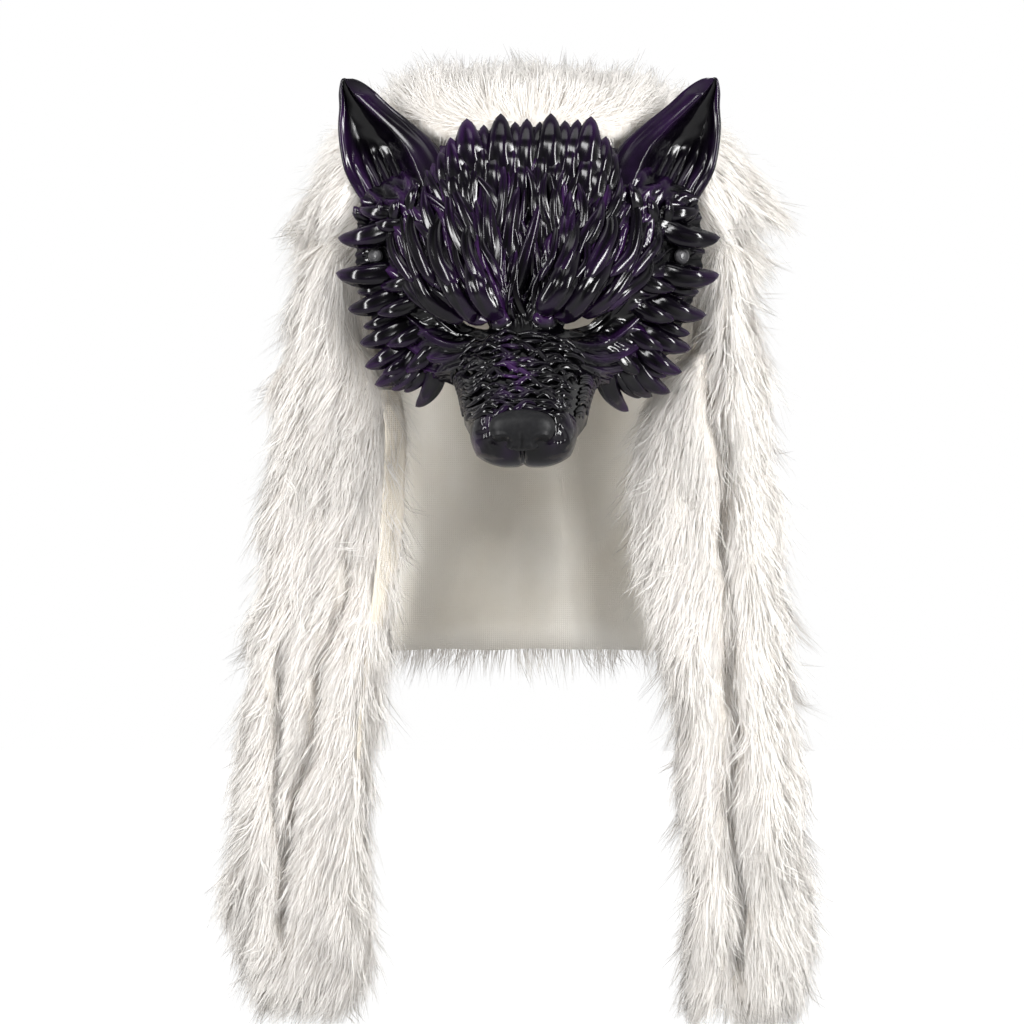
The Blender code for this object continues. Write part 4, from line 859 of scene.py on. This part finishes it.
def ear(side):
    rows, columns = 110, 88
    table = spline(list(EAR_SECTIONS.values()), np.linspace(0, 8, rows))
    s = np.linspace(-1, 1, columns)[None, :]
    t = (s + 1) / 2
    rise, outer, inner, reach, cup = table.T
    crest = np.interp(rise, list(EAR_CREST), list(EAR_CREST.values()))[:, None]
    z = (EAR_TIP_Z - EAR_HEIGHT + EAR_HEIGHT * rise)[:, None] + 0 * s
    x = EAR_HALF_SPAN * (outer[:, None] * (1 - t) + inner[:, None] * t)
    y_out = RIM_Y - 0.055 * DEPTH
    y_in = (RIM_Y - reach * DEPTH)[:, None]
    full = np.clip((1 - rise) / 0.12, 0.08, 1)[:, None]
    u = np.clip((1 - s) / (1 - crest), 0, 1)
    v = np.clip((crest - s) / (crest + 1), 0, 1)
    flank = 1 - (1 - u) ** 2
    bowl = np.sin(math.pi * v ** 0.8) ** 0.8
    drop = np.where(s >= crest, -EAR_FLANK * full * flank,
                    -EAR_FLANK * full * bell(v / 0.14) + EAR_CUP * cup[:, None] * bowl)
    # Ridges of hair fan up out of the root of the bowl.
    low = np.clip((0.56 - rise) / 0.42, 0, 1)[:, None]
    fan = 6.5 * v + 0.9 * rise[:, None] + 0.25 * np.sin(9 * rise[:, None])
    ridges = np.abs(np.sin(math.pi * fan)) ** 0.7
    inside = ease(v, 0.08, 0.12) * ease(0.94, v, 0.10)
    drop = drop - 0.0036 * low * ridges * inside
    y = y_out * (1 - t) + y_in * t + drop
    front = np.stack([side * x, y, z], axis=-1)
    n = grid_normals(front, (60, 80))
    roll = (1 - np.abs(s) ** 8) ** 0.5
    thick = EAR_WALL * (0.30 + 0.70 * roll)[:, :, None] * (0.4 + 0.6 * full[:, :, None])
    swell = 0.0014 * bell((np.abs(s) - 0.92) / 0.08)[:, :, None] * full[:, :, None]
    points = np.concatenate([front + n * swell, (front - n * thick)[:, ::-1]], axis=1)
    shade = np.where(s >= crest, 0.56, 0.18 + 0.5 * (1 - bowl) + 0.45 * low * ridges * inside)
    shade = np.concatenate([shade, 0.5 + 0 * x], axis=1)
    return points.reshape(-1, 3), grid_faces(rows, 2 * columns, True), np.clip(shade, 0, 1).ravel()


for side, name in ((-1, "ear_left"), (1, "ear_right")):
    dress(gather(name, [ear(side)], foam), "mask_face")

# Fine wavy strands lie across the muzzle, from the middle line outward and down its sides.
strands_across = []
MUZZLE_TOP, MUZZLE_BOTTOM, STRAND_GAP = 336, 414, 4.2
for y in np.arange(MUZZLE_TOP, MUZZLE_BOTTOM, STRAND_GAP):
    for side in (-1, 1):
        for start, reach in ((-4, 30), (17, 27), (38, 20)):
            x0 = MIDDLE_X + side * (start + draw.uniform(-6, 8))
            y0 = y + draw.uniform(-2.8, 2.8) + 0.10 * start
            wave = draw.uniform(-4.5, 4.5)
            fall = 0.10 * start + draw.uniform(-3, 8)
            room = np.interp(y, [MUZZLE_TOP, 388, MUZZLE_BOTTOM], [68, 57, 50]) - abs(x0 - MIDDLE_X)
            reach = max(8.0, min(reach, room))
            line = photo_path((x0, y0), (x0 + side * reach * 0.33, y0 - wave),
                              (x0 + side * reach * 0.66, y0 + 0.6 * wave + 0.4 * fall),
                              (x0 + side * reach, y0 - 0.3 * wave + fall), steps=12, lift=0.0006)
            width = draw.uniform(3.8, 8.4) * PIXEL
            points, quads, shade = tuft(line, facing_out(line, 0.3), width, width * 0.72, 0, 8, 0.5)
            shade = shade * (0.60 + 1.3 * bell((points[:, 0] + 0.0045) / 0.0085))
            strands_across.append((points, quads, np.clip(shade, 0, 1)))
for v, side, u in muzzle_side:
    line = [surface_uv(side * (u + 0.7 * t), v + 0.20 * math.sin(3.2 * t + u * 2) + 0.3 * t)
            for t in np.linspace(0, 1, 12)]
    outward = [np.array((side * 0.9, -0.4, 0.0))] * 12
    strands_across.append(tuft(line, np.array(outward), 0.0028, 0.0022, 0, 8, 0.4))
muzzle_strands = gather("muzzle_strands", strands_across, foam)

for obj in (face_skin, face_inside, edge_tufts, brows, forehead_locks, muzzle_strands):
    dress(obj, "mask_face")

# Muzzle end, nose and rivets.
# The smooth end of the muzzle round the nose: its outline as pixels from its middle, by angle.
MUZZLE_END = {-90: 35.0, -84: 37.5, -70: 40.5, -50: 46.5, -30: 53.5, 0: 53.5, 25: 50.0, 50: 40.0, 90: 30.0}
MUZZLE_END_Z = (PIXEL_Z - 430.0) * PIXEL
MUZZLE_END_Y = -0.164
MUZZLE_END_BULGE = 0.0230
NOSE_HALF_WIDTH = 0.0198
NOSE_HALF_HEIGHT = 0.0118
NOSE_BULGE = 0.0098
NOSE_SINK = 0.0060


def muzzle_end():
    columns = 96
    a = np.linspace(-math.pi, math.pi, columns, endpoint=False)
    turn = np.degrees(np.arctan2(np.sin(a), np.abs(np.cos(a))))
    reach = np.interp(turn, list(MUZZLE_END), list(MUZZLE_END.values())) * PIXEL
    out = np.linspace(0.0, 1.0, 40)[:, None] ** 0.8
    x = reach * np.cos(a) * out
    z = reach * np.sin(a) * out + MUZZLE_END_Z
    y = MUZZLE_END_Y - MUZZLE_END_BULGE * np.sqrt(np.maximum(1 - out ** 2.8, 0)) + 0 * a
    # A groove down the middle below the nose, a crease on either side of it, and wrinkles outside.
    below = ease(NOSE_AT[2] - 0.004, z, 0.010)
    y = y + 0.0030 * below * bell(x / 0.0016)
    crease = np.abs(np.abs(x) - 0.0215 - 0.10 * (z - NOSE_AT[2]))
    y = y + 0.0010 * bell(crease / 0.0012) * np.clip(1 - out ** 6, 0, 1)
    bent = 3 * np.sin(5 * out + 2 * np.sin(2 * a)) + 2 * np.sin(7 * a + 4 * out)
    wrinkle = np.abs(np.sin(10 * a + bent)) ** 0.6
    ends = ease(out, 0.52, 0.15) * np.clip((1 - out) / 0.08, 0.25, 1) * (z > -0.206)
    y = y - 0.0016 * wrinkle * ends
    rows = [np.stack([x, y, z], axis=-1)]
    middle = np.array((0.0, MUZZLE_END_Z))
    # Behind its widest ring the end runs back and up into the underside of the muzzle.
    for depth, scale, rise in ((-0.158, 0.99, 0.001), (-0.150, 0.96, 0.004), (-0.140, 0.91, 0.009),
                               (-0.128, 0.84, 0.017), (-0.115, 0.74, 0.027)):
        ring = rows[0][-1:].copy()
        ring[:, :, 1] = depth
        ring[:, :, [0, 2]] = middle + (ring[:, :, [0, 2]] - middle) * scale
        ring[:, :, 2] += rise
        rows.append(ring)
    points = np.concatenate(rows)
    shade = 0.40 + 0.25 * np.sin(260 * x) * np.sin(190 * z)
    shade = np.concatenate([shade] + [shade[-1:]] * (len(rows) - 1))
    return points.reshape(-1, 3), grid_faces(len(points), columns, True), shade.ravel()


dress(gather("lips", [muzzle_end()], foam), "mask_face")


def signed_power(value, power):
    return np.sign(value) * np.abs(value) ** power


def nose_pad():
    """Smooth round pad: broad and full at the top, with a curled nostril pit on either side below."""
    rows, columns = 64, 96
    polar = np.linspace(0.0, 0.5 * math.pi, rows)[:, None]
    a = np.linspace(0, 2 * math.pi, columns, endpoint=False)[None, :]
    out = np.sin(polar) ** 0.85
    low = np.maximum(0, -np.sin(a))
    x = NOSE_HALF_WIDTH * signed_power(np.cos(a), 0.85) * out * (1 - 0.22 * low)
    z = NOSE_HALF_HEIGHT * signed_power(np.sin(a), 0.85) * out - 0.0010 * out * low
    y = -NOSE_BULGE * np.cos(polar) ** 0.75 + 0 * a
    for side in (-1, 1):
        y = y + 0.0060 * bell(np.hypot((x - side * 0.0098) / 0.0052, (z + 0.0078) / 0.0034))
        wing = np.hypot((x - side * 0.0120) / 0.0060, (z + 0.0088) / 0.0050)
        y = y - 0.0018 * bell((wing - 1.05) / 0.28)
    y = y + 0.0024 * bell(x / 0.0012) * np.clip(-z / 0.008, 0, 1)
    front = np.stack([x, np.maximum(y, -0.0112), z], axis=-1)
    foot = front[-1:].copy()
    foot[:, :, 1] = NOSE_SINK
    return np.concatenate([front, foot]).reshape(-1, 3) + NOSE_AT, grid_faces(rows + 1, columns, True)


nose = make_mesh("nose_pad", *nose_pad())
nose.data.materials.append(nose_mat)
dress(nose, "nose")

for name in ("rivet_left", "rivet_right"):
    nodes[name].data.materials.clear()
    nodes[name].data.materials.append(rivet_mat)

# Fur.
DOWN = np.array((0.0, 0.0, -1.0))
# The room that the strands have.
FUR_LOW = np.array((-0.2005, -0.2000, -0.5600))
FUR_HIGH = np.array((0.1890, 0.1575, 0.0480))


def vertex_array(rows, field):
    """A vector for each vertex, as a table with three columns."""
    values = np.empty(len(rows) * 3, np.float32)
    rows.foreach_get(field, values)
    return values.reshape(-1, 3).astype(float)


def triangles(mesh):
    mesh.calc_loop_triangles()
    tris = np.empty(len(mesh.loop_triangles) * 3, int)
    mesh.loop_triangles.foreach_get("vertices", tris)
    return tris.reshape(-1, 3)


def move_vertices(mesh, places):
    mesh.vertices.foreach_set("co", places.astype(np.float32).ravel())
    mesh.update()


def node_arrays(name):
    """A node's points in the frame, and its triangles."""
    matrix = np.array(nodes[name].matrix_world)
    points = vertex_array(nodes[name].data.vertices, "co") @ matrix[:3, :3].T + matrix[:3, 3]
    return points, triangles(nodes[name].data)


def smoothed(obj, rounds):
    """The object's mesh with its modifiers applied and then smoothed."""
    step = obj.modifiers.new("smooth", "SMOOTH")
    step.factor = 0.5
    step.iterations = rounds
    graph = bpy.context.evaluated_depsgraph_get()
    mesh = bpy.data.meshes.new_from_object(obj.evaluated_get(graph))
    obj.modifiers.clear()
    obj.data = mesh
    return mesh


# Deep folds in the fronts of the panels: half width and depth in metres, and course in pixels.
FOLDS = [
    (0.0050, 0.015, (296, 600), (287, 660), (283, 720), (281, 780), (285, 840), (290, 900), (292, 960)),
    (0.0060, 0.011, (360, 500), (352, 560), (340, 620), (325, 690), (311, 770), (297, 850), (290, 890)),
    (0.0055, 0.014, (712, 320), (716, 400), (719, 470), (727, 540), (733, 640), (736, 760), (742, 880),
     (748, 1010)),
]


def fold_depth(points):
    """How far the panels' folds sink at these points, and how much painted shade darkens their bottoms."""
    depth = np.zeros(len(points))
    dark = np.zeros(len(points))
    y = PIXEL_Z - points[:, 2] / PIXEL
    for half, sink, *course in FOLDS:
        rows = np.array(course, float)
        x = (np.interp(y, rows[:, 1], rows[:, 0]) - PIXEL_X) * PIXEL + 0.0020 * np.sin(y * 0.045)
        near = bell((points[:, 0] - x) / half) * ease(y, rows[0, 1], 50) * ease(rows[-1, 1], y, 50)
        depth = np.maximum(depth, near * sink)
        dark = np.maximum(dark, near)
    return depth, dark


def soft_body(node, grain, rounds):
    """The node's outer form as a soft body with grooves that run down its pile."""
    obj = make_mesh(node + "_pile", *node_arrays(node))
    step = obj.modifiers.new("skin", "REMESH")
    step.mode = "VOXEL"
    step.voxel_size = grain
    step.use_smooth_shade = True
    mesh = smoothed(obj, rounds)
    co = vertex_array(mesh.vertices, "co")
    no = vertex_array(mesh.vertex_normals, "vector")
    x, y, z = co.T
    wave = np.sin(260 * x + 1.7 * np.sin(21 * z)) * np.sin(234 * y + 1.3 * np.sin(17 * z + 2))
    lump = np.sin(95 * x + 2.1 * np.sin(38 * z)) * np.sin(88 * z + 1.5 * np.sin(60 * x))
    co = co + no * (0.0020 * wave + 0.0022 * lump - 0.0022)[:, None]
    if node != "hood_fur":
        co[:, 1] += fold_depth(co)[0] * ease(0.25, no[:, 1], 0.5)
    move_vertices(mesh, co)
    return obj, co, no


def sample(co, no, obj, count, keep, seed):
    """Roots spread over a body, with the body's normal at each."""
    draw = np.random.default_rng(seed)
    tris = triangles(obj.data)
    centre = co[tris].mean(axis=1)
    normal = unit(no[tris].mean(axis=1))
    a, b, c = co[tris[:, 0]], co[tris[:, 1]], co[tris[:, 2]]
    weight = np.linalg.norm(np.cross(b - a, c - a), axis=1) * keep(centre, normal)
    pick = draw.choice(len(tris), count, p=weight / weight.sum())
    u, v = draw.random(count), draw.random(count)
    over = u + v > 1
    u[over], v[over] = 1 - u[over], 1 - v[over]
    roots = a[pick] + u[:, None] * (b - a)[pick] + v[:, None] * (c - a)[pick]
    return roots, unit(no[tris[pick]].mean(axis=1))


STRAND_PARTS = 2
STRAND_POINTS = 2 * STRAND_PARTS + 1
# How far a strand's tip sinks under its weight, as a share of its length, and the tone at a root.
DROOP = 0.175
TONE_LOW = 0.26


def strands(name, roots, normals, flow_of, length, width, lift, clump_gap, pull, seed, dark,
            sway=0.20, belly=0.62):
    """Tapering ribbons of fur, drawn together into clumps, as one mesh."""
    draw = np.random.default_rng(seed)
    n = len(roots)
    directions = unit(flow_of(roots, normals))
    directions = unit(directions - normals * np.sum(directions * normals, axis=1)[:, None])
    size = length * draw.uniform(0.65, 1.25, n)
    # Clumps: every strand leans to the centre line of the nearest one.
    heads = max(8, int(n / clump_gap))
    pick = draw.choice(n, heads, replace=False)
    kd = KDTree(heads)
    for i, k in enumerate(pick):
        kd.insert(Vector(roots[k]), i)
    kd.balance()
    mine = np.array([kd.find(Vector(p))[1] for p in roots])
    head_dir = unit(directions[pick] + sway * draw.normal(size=(heads, 3)))
    head_len = length * draw.uniform(0.8, 1.25, heads)
    head_dark = draw.random(heads)
    lines = np.zeros((n, STRAND_PARTS + 1, 3))
    own_dir = unit(directions + 0.10 * draw.normal(size=(n, 3)))
    up = lift * draw.uniform(0.6, 1.4, n)
    wobble = 0.12 * draw.normal(size=(n, 3))
    head, head_size = pick[mine], head_len[mine][:, None]
    for k in range(STRAND_PARTS + 1):
        s = k / STRAND_PARTS
        arch = s * (1 - 0.45 * s)
        free = roots + size[:, None] * (own_dir * s + normals * (up * arch)[:, None]
                                        + wobble * s * s + DOWN * DROOP * s * s)
        core = roots[head] + head_size * (head_dir[mine] * s * 1.02 + normals[head] * lift * arch
                                          + DOWN * DROOP * s * s)
        drawn = pull * s ** 1.2
        lines[:, k] = free * (1 - drawn) + core * drawn
    # No strand lies in front of the moulded face or passes through it.
    free = np.ones(n, bool)
    for k in range(1, STRAND_PARTS + 1):
        for i in np.where(free & (lines[:, k, 1] < 0.02))[0]:
            free[i] = mask_tree.ray_cast(Vector(lines[i, k]), Vector((0, 1, 0)), 0.09)[0] is None
    lines, normals, mine = lines[free], normals[free], mine[free]
    n = len(lines)
    # A strand that would leave the room that the fur has is shortened.
    root = lines[:, :1]
    reach = lines - root
    share = np.where(reach > 0, (FUR_HIGH - root) / np.maximum(reach, 1e-9),
                     (FUR_LOW - root) / np.minimum(reach, -1e-9))
    lines = root + reach * np.clip(share.min(axis=(1, 2)), 0.1, 1)[:, None, None]
    side = unit(np.cross(np.gradient(lines, axis=1), normals[:, None, :]))
    taper = np.array([1.0, 0.80, 0.0])
    half = 0.5 * width * draw.uniform(0.7, 1.3, n)[:, None] * taper[None, :]
    verts = np.zeros((n, STRAND_POINTS, 3))
    verts[:, 0:-1:2] = (lines - side * half[:, :, None])[:, :-1]
    verts[:, 1::2] = (lines + side * half[:, :, None])[:, :-1]
    verts[:, -1] = lines[:, -1]
    base = (np.arange(n) * STRAND_POINTS)[:, None]
    obj = make_mesh(name, verts, [base + np.array([[0, 1, 3, 2]]), base + np.array([[2, 3, 4]])])
    level = TONE_LOW + 0.16 * draw.random(n)
    # Strands rooted in a fold and not facing back are darkened: painted shade in the folds.
    level = level * (1 - 0.85 * fold_depth(lines[:, 0])[1] * (normals[:, 1] < 0.3))
    darker = (draw.random(n) < dark) | (head_dark[mine] < dark * 0.8)
    end = np.where(darker, draw.uniform(0.72, 1.0, n), 0.55)
    half_way = 0.5 * (level + np.minimum(end, belly))
    paint(obj, "tone", np.stack([level, level, half_way, half_way, end], axis=1).ravel())
    # Shading follows the fur's surface, softened, so that the pile reads as one soft mass.
    shading = unit(normals + 0.14 * (lines[:, -1] - lines[:, 0]) / length)
    per_point = np.repeat(shading, STRAND_POINTS, axis=0)
    obj.data.normals_split_custom_set_from_vertices([tuple(v) for v in per_point])
    obj.data.materials.append(fur_mat)
    return obj


def hood_flow(roots, normals):
    """Up and back over the crown, down and outward at the sides."""
    away = unit(roots * (1, 1, 0))
    high = ease(roots[:, [2]], -0.035, 0.045)
    back = unit(roots * (3, 0, 0) + (0, 1.0, 0.5))
    wing = ease(np.abs(roots[:, [0]]), 0.085, 0.03) * ease(roots[:, [2]], -0.13, 0.04)
    side = unit((0.35 + 0.9 * wing) * away + (1.0 - 0.25 * wing) * DOWN)
    return unit(high * back + (1 - high) * side)


def panel_flow(side):
    """Down, with the inner part of a panel combed to the left and its edges outward."""
    def rule(roots, normals):
        y = PIXEL_Z - roots[:, 2] / PIXEL
        out = np.zeros_like(roots)
        lean = -0.42 if side < 0 else np.where(roots[:, 0] < 0.118, -0.26, 0.14)
        out[:, 0] = lean + 0.12 * np.sin(y * 0.03) + 0.55 * normals[:, 0]
        out[:, 1] = -0.10 + 0.25 * normals[:, 1]
        return unit(out + DOWN)
    return rule


def hood_keep(centre, normal):
    """Where the hood has strands: outside, fewer low down, more in front."""
    facing = np.sum(normal * unit(centre - np.array((0, 0, -0.05))), axis=1)
    return (facing > -0.15) * (1.0 - 0.5 * (centre[:, 2] < -0.20)) * (1.0 + 0.8 * (centre[:, 1] < 0.02))


def panel_keep(centre, normal):
    """Where a panel has strands: below the hood, fewer behind."""
    return (centre[:, 2] < -0.06) * (1.0 - 0.45 * (normal[:, 1] > 0.3)) * (normal[:, 2] < 0.9)


def at_edges(keep):
    """The same places, with more weight at the sides and on the crown."""
    def rule(centre, normal):
        more = 0.30 + 1.4 * np.abs(normal[:, 0]) ** 2 + 2.2 * (centre[:, 2] > 0.006)
        return keep(centre, normal) * more
    return rule


mask_tree = tree_of(*node_arrays("mask_face"))
# Where strands grow and which way; the body's grain in metres; the strands' count, length, width,
# lift, number in a clump, how far a clump draws in and the share with dark tips; and for the longer
# guard hairs one in how many, their length against a strand's, the share with dark tips and tone.
FUR_DRESS = {
    "hood_fur": (hood_keep, hood_flow, 0.0056, 43000, 0.0250, 0.00039, 0.42, 30, 0.36, 0.14,
                 4, 0.92, 0.90, 0.90),
    "panel_left": (panel_keep, panel_flow(-1), 0.0045, 44000, 0.0225, 0.00038, 0.27, 34, 0.30, 0.17,
                   6, 1.12, 0.52, 0.82),
    "panel_right": (panel_keep, panel_flow(1), 0.0045, 44000, 0.0225, 0.00038, 0.27, 34, 0.30, 0.15,
                    6, 1.12, 0.52, 0.82),
}
for k, (node, row) in enumerate(FUR_DRESS.items()):
    keep, rule, grain, count, length, width, lift, clump, pull, dark, *guards = row
    one_in, longer, guards_dark, guards_tone = guards
    body, co, no = soft_body(node, grain, 6)
    body.data.materials.clear()
    body.data.materials.append(under_mat)
    dress(body, node)
    roots, normals = sample(co, no, body, count, keep, 40 + k)
    coat = strands(node + "_coat", roots, normals, rule, length, width, lift, clump, pull, 60 + k, dark)
    dress(coat, node)
    # Sparse longer guard hairs stand off the pile, many of them with dark tips.
    roots, normals = sample(co, no, body, count // one_in, at_edges(keep), 80 + k)
    guard = strands(node + "_guard_hairs", roots, normals, rule, length * longer, width * 1.45,
                    lift + 0.36, 5, 0.55, 90 + k, guards_dark, 0.50, guards_tone)
    dress(guard, node)


# Cloth.
def welded(name, node, cuts=0):
    """A copy of a node with its points joined, and its edges cut up where cuts are given."""
    obj = make_mesh(name, *node_arrays(node))
    bm = bmesh.new()
    bm.from_mesh(obj.data)
    bmesh.ops.remove_doubles(bm, verts=bm.verts, dist=0.00002)
    if cuts:
        bmesh.ops.subdivide_edges(bm, edges=bm.edges, cuts=cuts, use_grid_fill=True, smooth=0.0)
    bm.to_mesh(obj.data)
    bm.free()
    return obj


hood_cloth = welded("hood_lining", "hood_backing", 3)
mesh = hood_cloth.data
co = vertex_array(mesh.vertices, "co")
angle = np.arctan2(co[:, 0], co[:, 1])
crease = np.sin(angle * 9 + 14 * co[:, 2]) * np.sin(co[:, 2] * 31 + 2 * angle)
outward = unit(co - np.array((0, 0, -0.12)))
mesh.polygons.foreach_set("use_smooth", np.ones(len(mesh.polygons), bool))
move_vertices(mesh, co - outward * (0.0007 * (1 + crease) * np.clip(-co[:, 2] / 0.05, 0, 1))[:, None])
mesh.materials.append(lining_mat)
dress(hood_cloth, "hood_backing")

facing = welded("facing_strip", "facing_left")
step = facing.modifiers.new("soft", "SUBSURF")
step.subdivision_type = "SIMPLE"
step.levels = step.render_levels = 2
mesh = smoothed(facing, 6)
# The strip narrows toward its lower end.
co = vertex_array(mesh.vertices, "co")
fall = np.clip((-0.26 - co[:, 2]) / 0.133, 0, 1) ** 1.3
edge_x = co[:, 0].min()
co[:, 0] = edge_x + (co[:, 0] - edge_x) * (1 - 0.85 * fall)
move_vertices(mesh, co)
mesh.materials.clear()
mesh.materials.append(facing_mat)
dress(facing, "facing_left")

# Stage, lights and camera.
FLOOR_Z = -0.62
FLOOR_REACH = 8.0
corners = [(x * FLOOR_REACH, y * FLOOR_REACH, FLOOR_Z) for x, y in ((-1, -1), (1, -1), (1, 1), (-1, 1))]
backdrop = make_mesh("backdrop", corners, np.array([[0, 1, 2, 3]]))
# Painted light: the floor is grey paper under and in front of the object, but it glows behind it, starting
# half a metre back and fully from a metre back, where its own colour turns dark.
mat, tree, shader = new_material("paper_glowing_behind", Roughness=0.9, Emission_Strength=1.0)
behind = add_node(tree, "SeparateXYZ", add_node(tree, "TexCoord").outputs["Object"]).outputs["Y"]
ramp(tree, behind, [(0.45, 0.42), (1.0, 0.02)], shader.inputs["Base Color"])
ramp(tree, behind, [(0.55, 0.0), (1.0, 1.0)], shader.inputs["Emission Color"])
backdrop.data.materials.append(mat)

# The surroundings are dim behind the camera and white behind the object.
scene = bpy.context.scene
scene.world = bpy.data.worlds.new("studio")
scene.world.use_nodes = True
tree = scene.world.node_tree
heading = add_node(tree, "TexCoord").outputs["Generated"]
shifted = add_node(tree, "Mapping", heading, Location=(0.0, 0.40, 0.0)).outputs["Vector"]
behind = add_node(tree, "SeparateXYZ", shifted).outputs["Y"]
ramp(tree, behind, [(0.02, 0.08), (0.36, 0.55), (0.80, 1.0)], tree.nodes["Background"].inputs["Color"])
scene.view_settings.view_transform = "Standard"

# Area lights: place, power in watts, width and height.
LIGHTS = {
    "key_left": ((-1.25, -1.10, 0.25), 20.0, 0.22, 1.0),
    "key_right": ((1.25, -1.10, 0.20), 29.0, 0.22, 1.0),
    "top": ((0.0, -0.75, 1.15), 1.6, 0.7, 0.28),
    "front": ((-0.35, -1.95, 0.85), 11.0, 0.45, 0.40),
}
LIGHT_AIM = Vector((0.0, -0.1, -0.15))
for name, (place, power, width, tall) in LIGHTS.items():
    data = bpy.data.lights.new(name, "AREA")
    data.shape = "RECTANGLE"
    data.size = width
    data.size_y = tall
    data.energy = power
    light = bpy.data.objects.new(name, data)
    light.location = place
    light.rotation_euler = (LIGHT_AIM - Vector(place)).to_track_quat("-Z", "Y").to_euler()
    scene.collection.objects.link(light)

PHOTO_SIDE = 1024
CAMERA_DISTANCE = 5.0
CAMERA_TURN = math.radians(2.4)
SENSOR = 36.0
FACE_Y = -0.10
centre_x, centre_z = px(PHOTO_SIDE / 2, PHOTO_SIDE / 2)
camera_data = bpy.data.cameras.new("camera")
camera = bpy.data.objects.new("camera", camera_data)
scene.collection.objects.link(camera)
camera.location = (centre_x + CAMERA_DISTANCE * math.sin(CAMERA_TURN),
                   FACE_Y - CAMERA_DISTANCE * math.cos(CAMERA_TURN), centre_z)
camera.rotation_euler = (math.pi / 2, 0, CAMERA_TURN)
camera_data.sensor_width = SENSOR
camera_data.lens = SENSOR * CAMERA_DISTANCE / (PHOTO_SIDE * PIXEL)
camera_data.clip_start = 0.05
scene.camera = camera
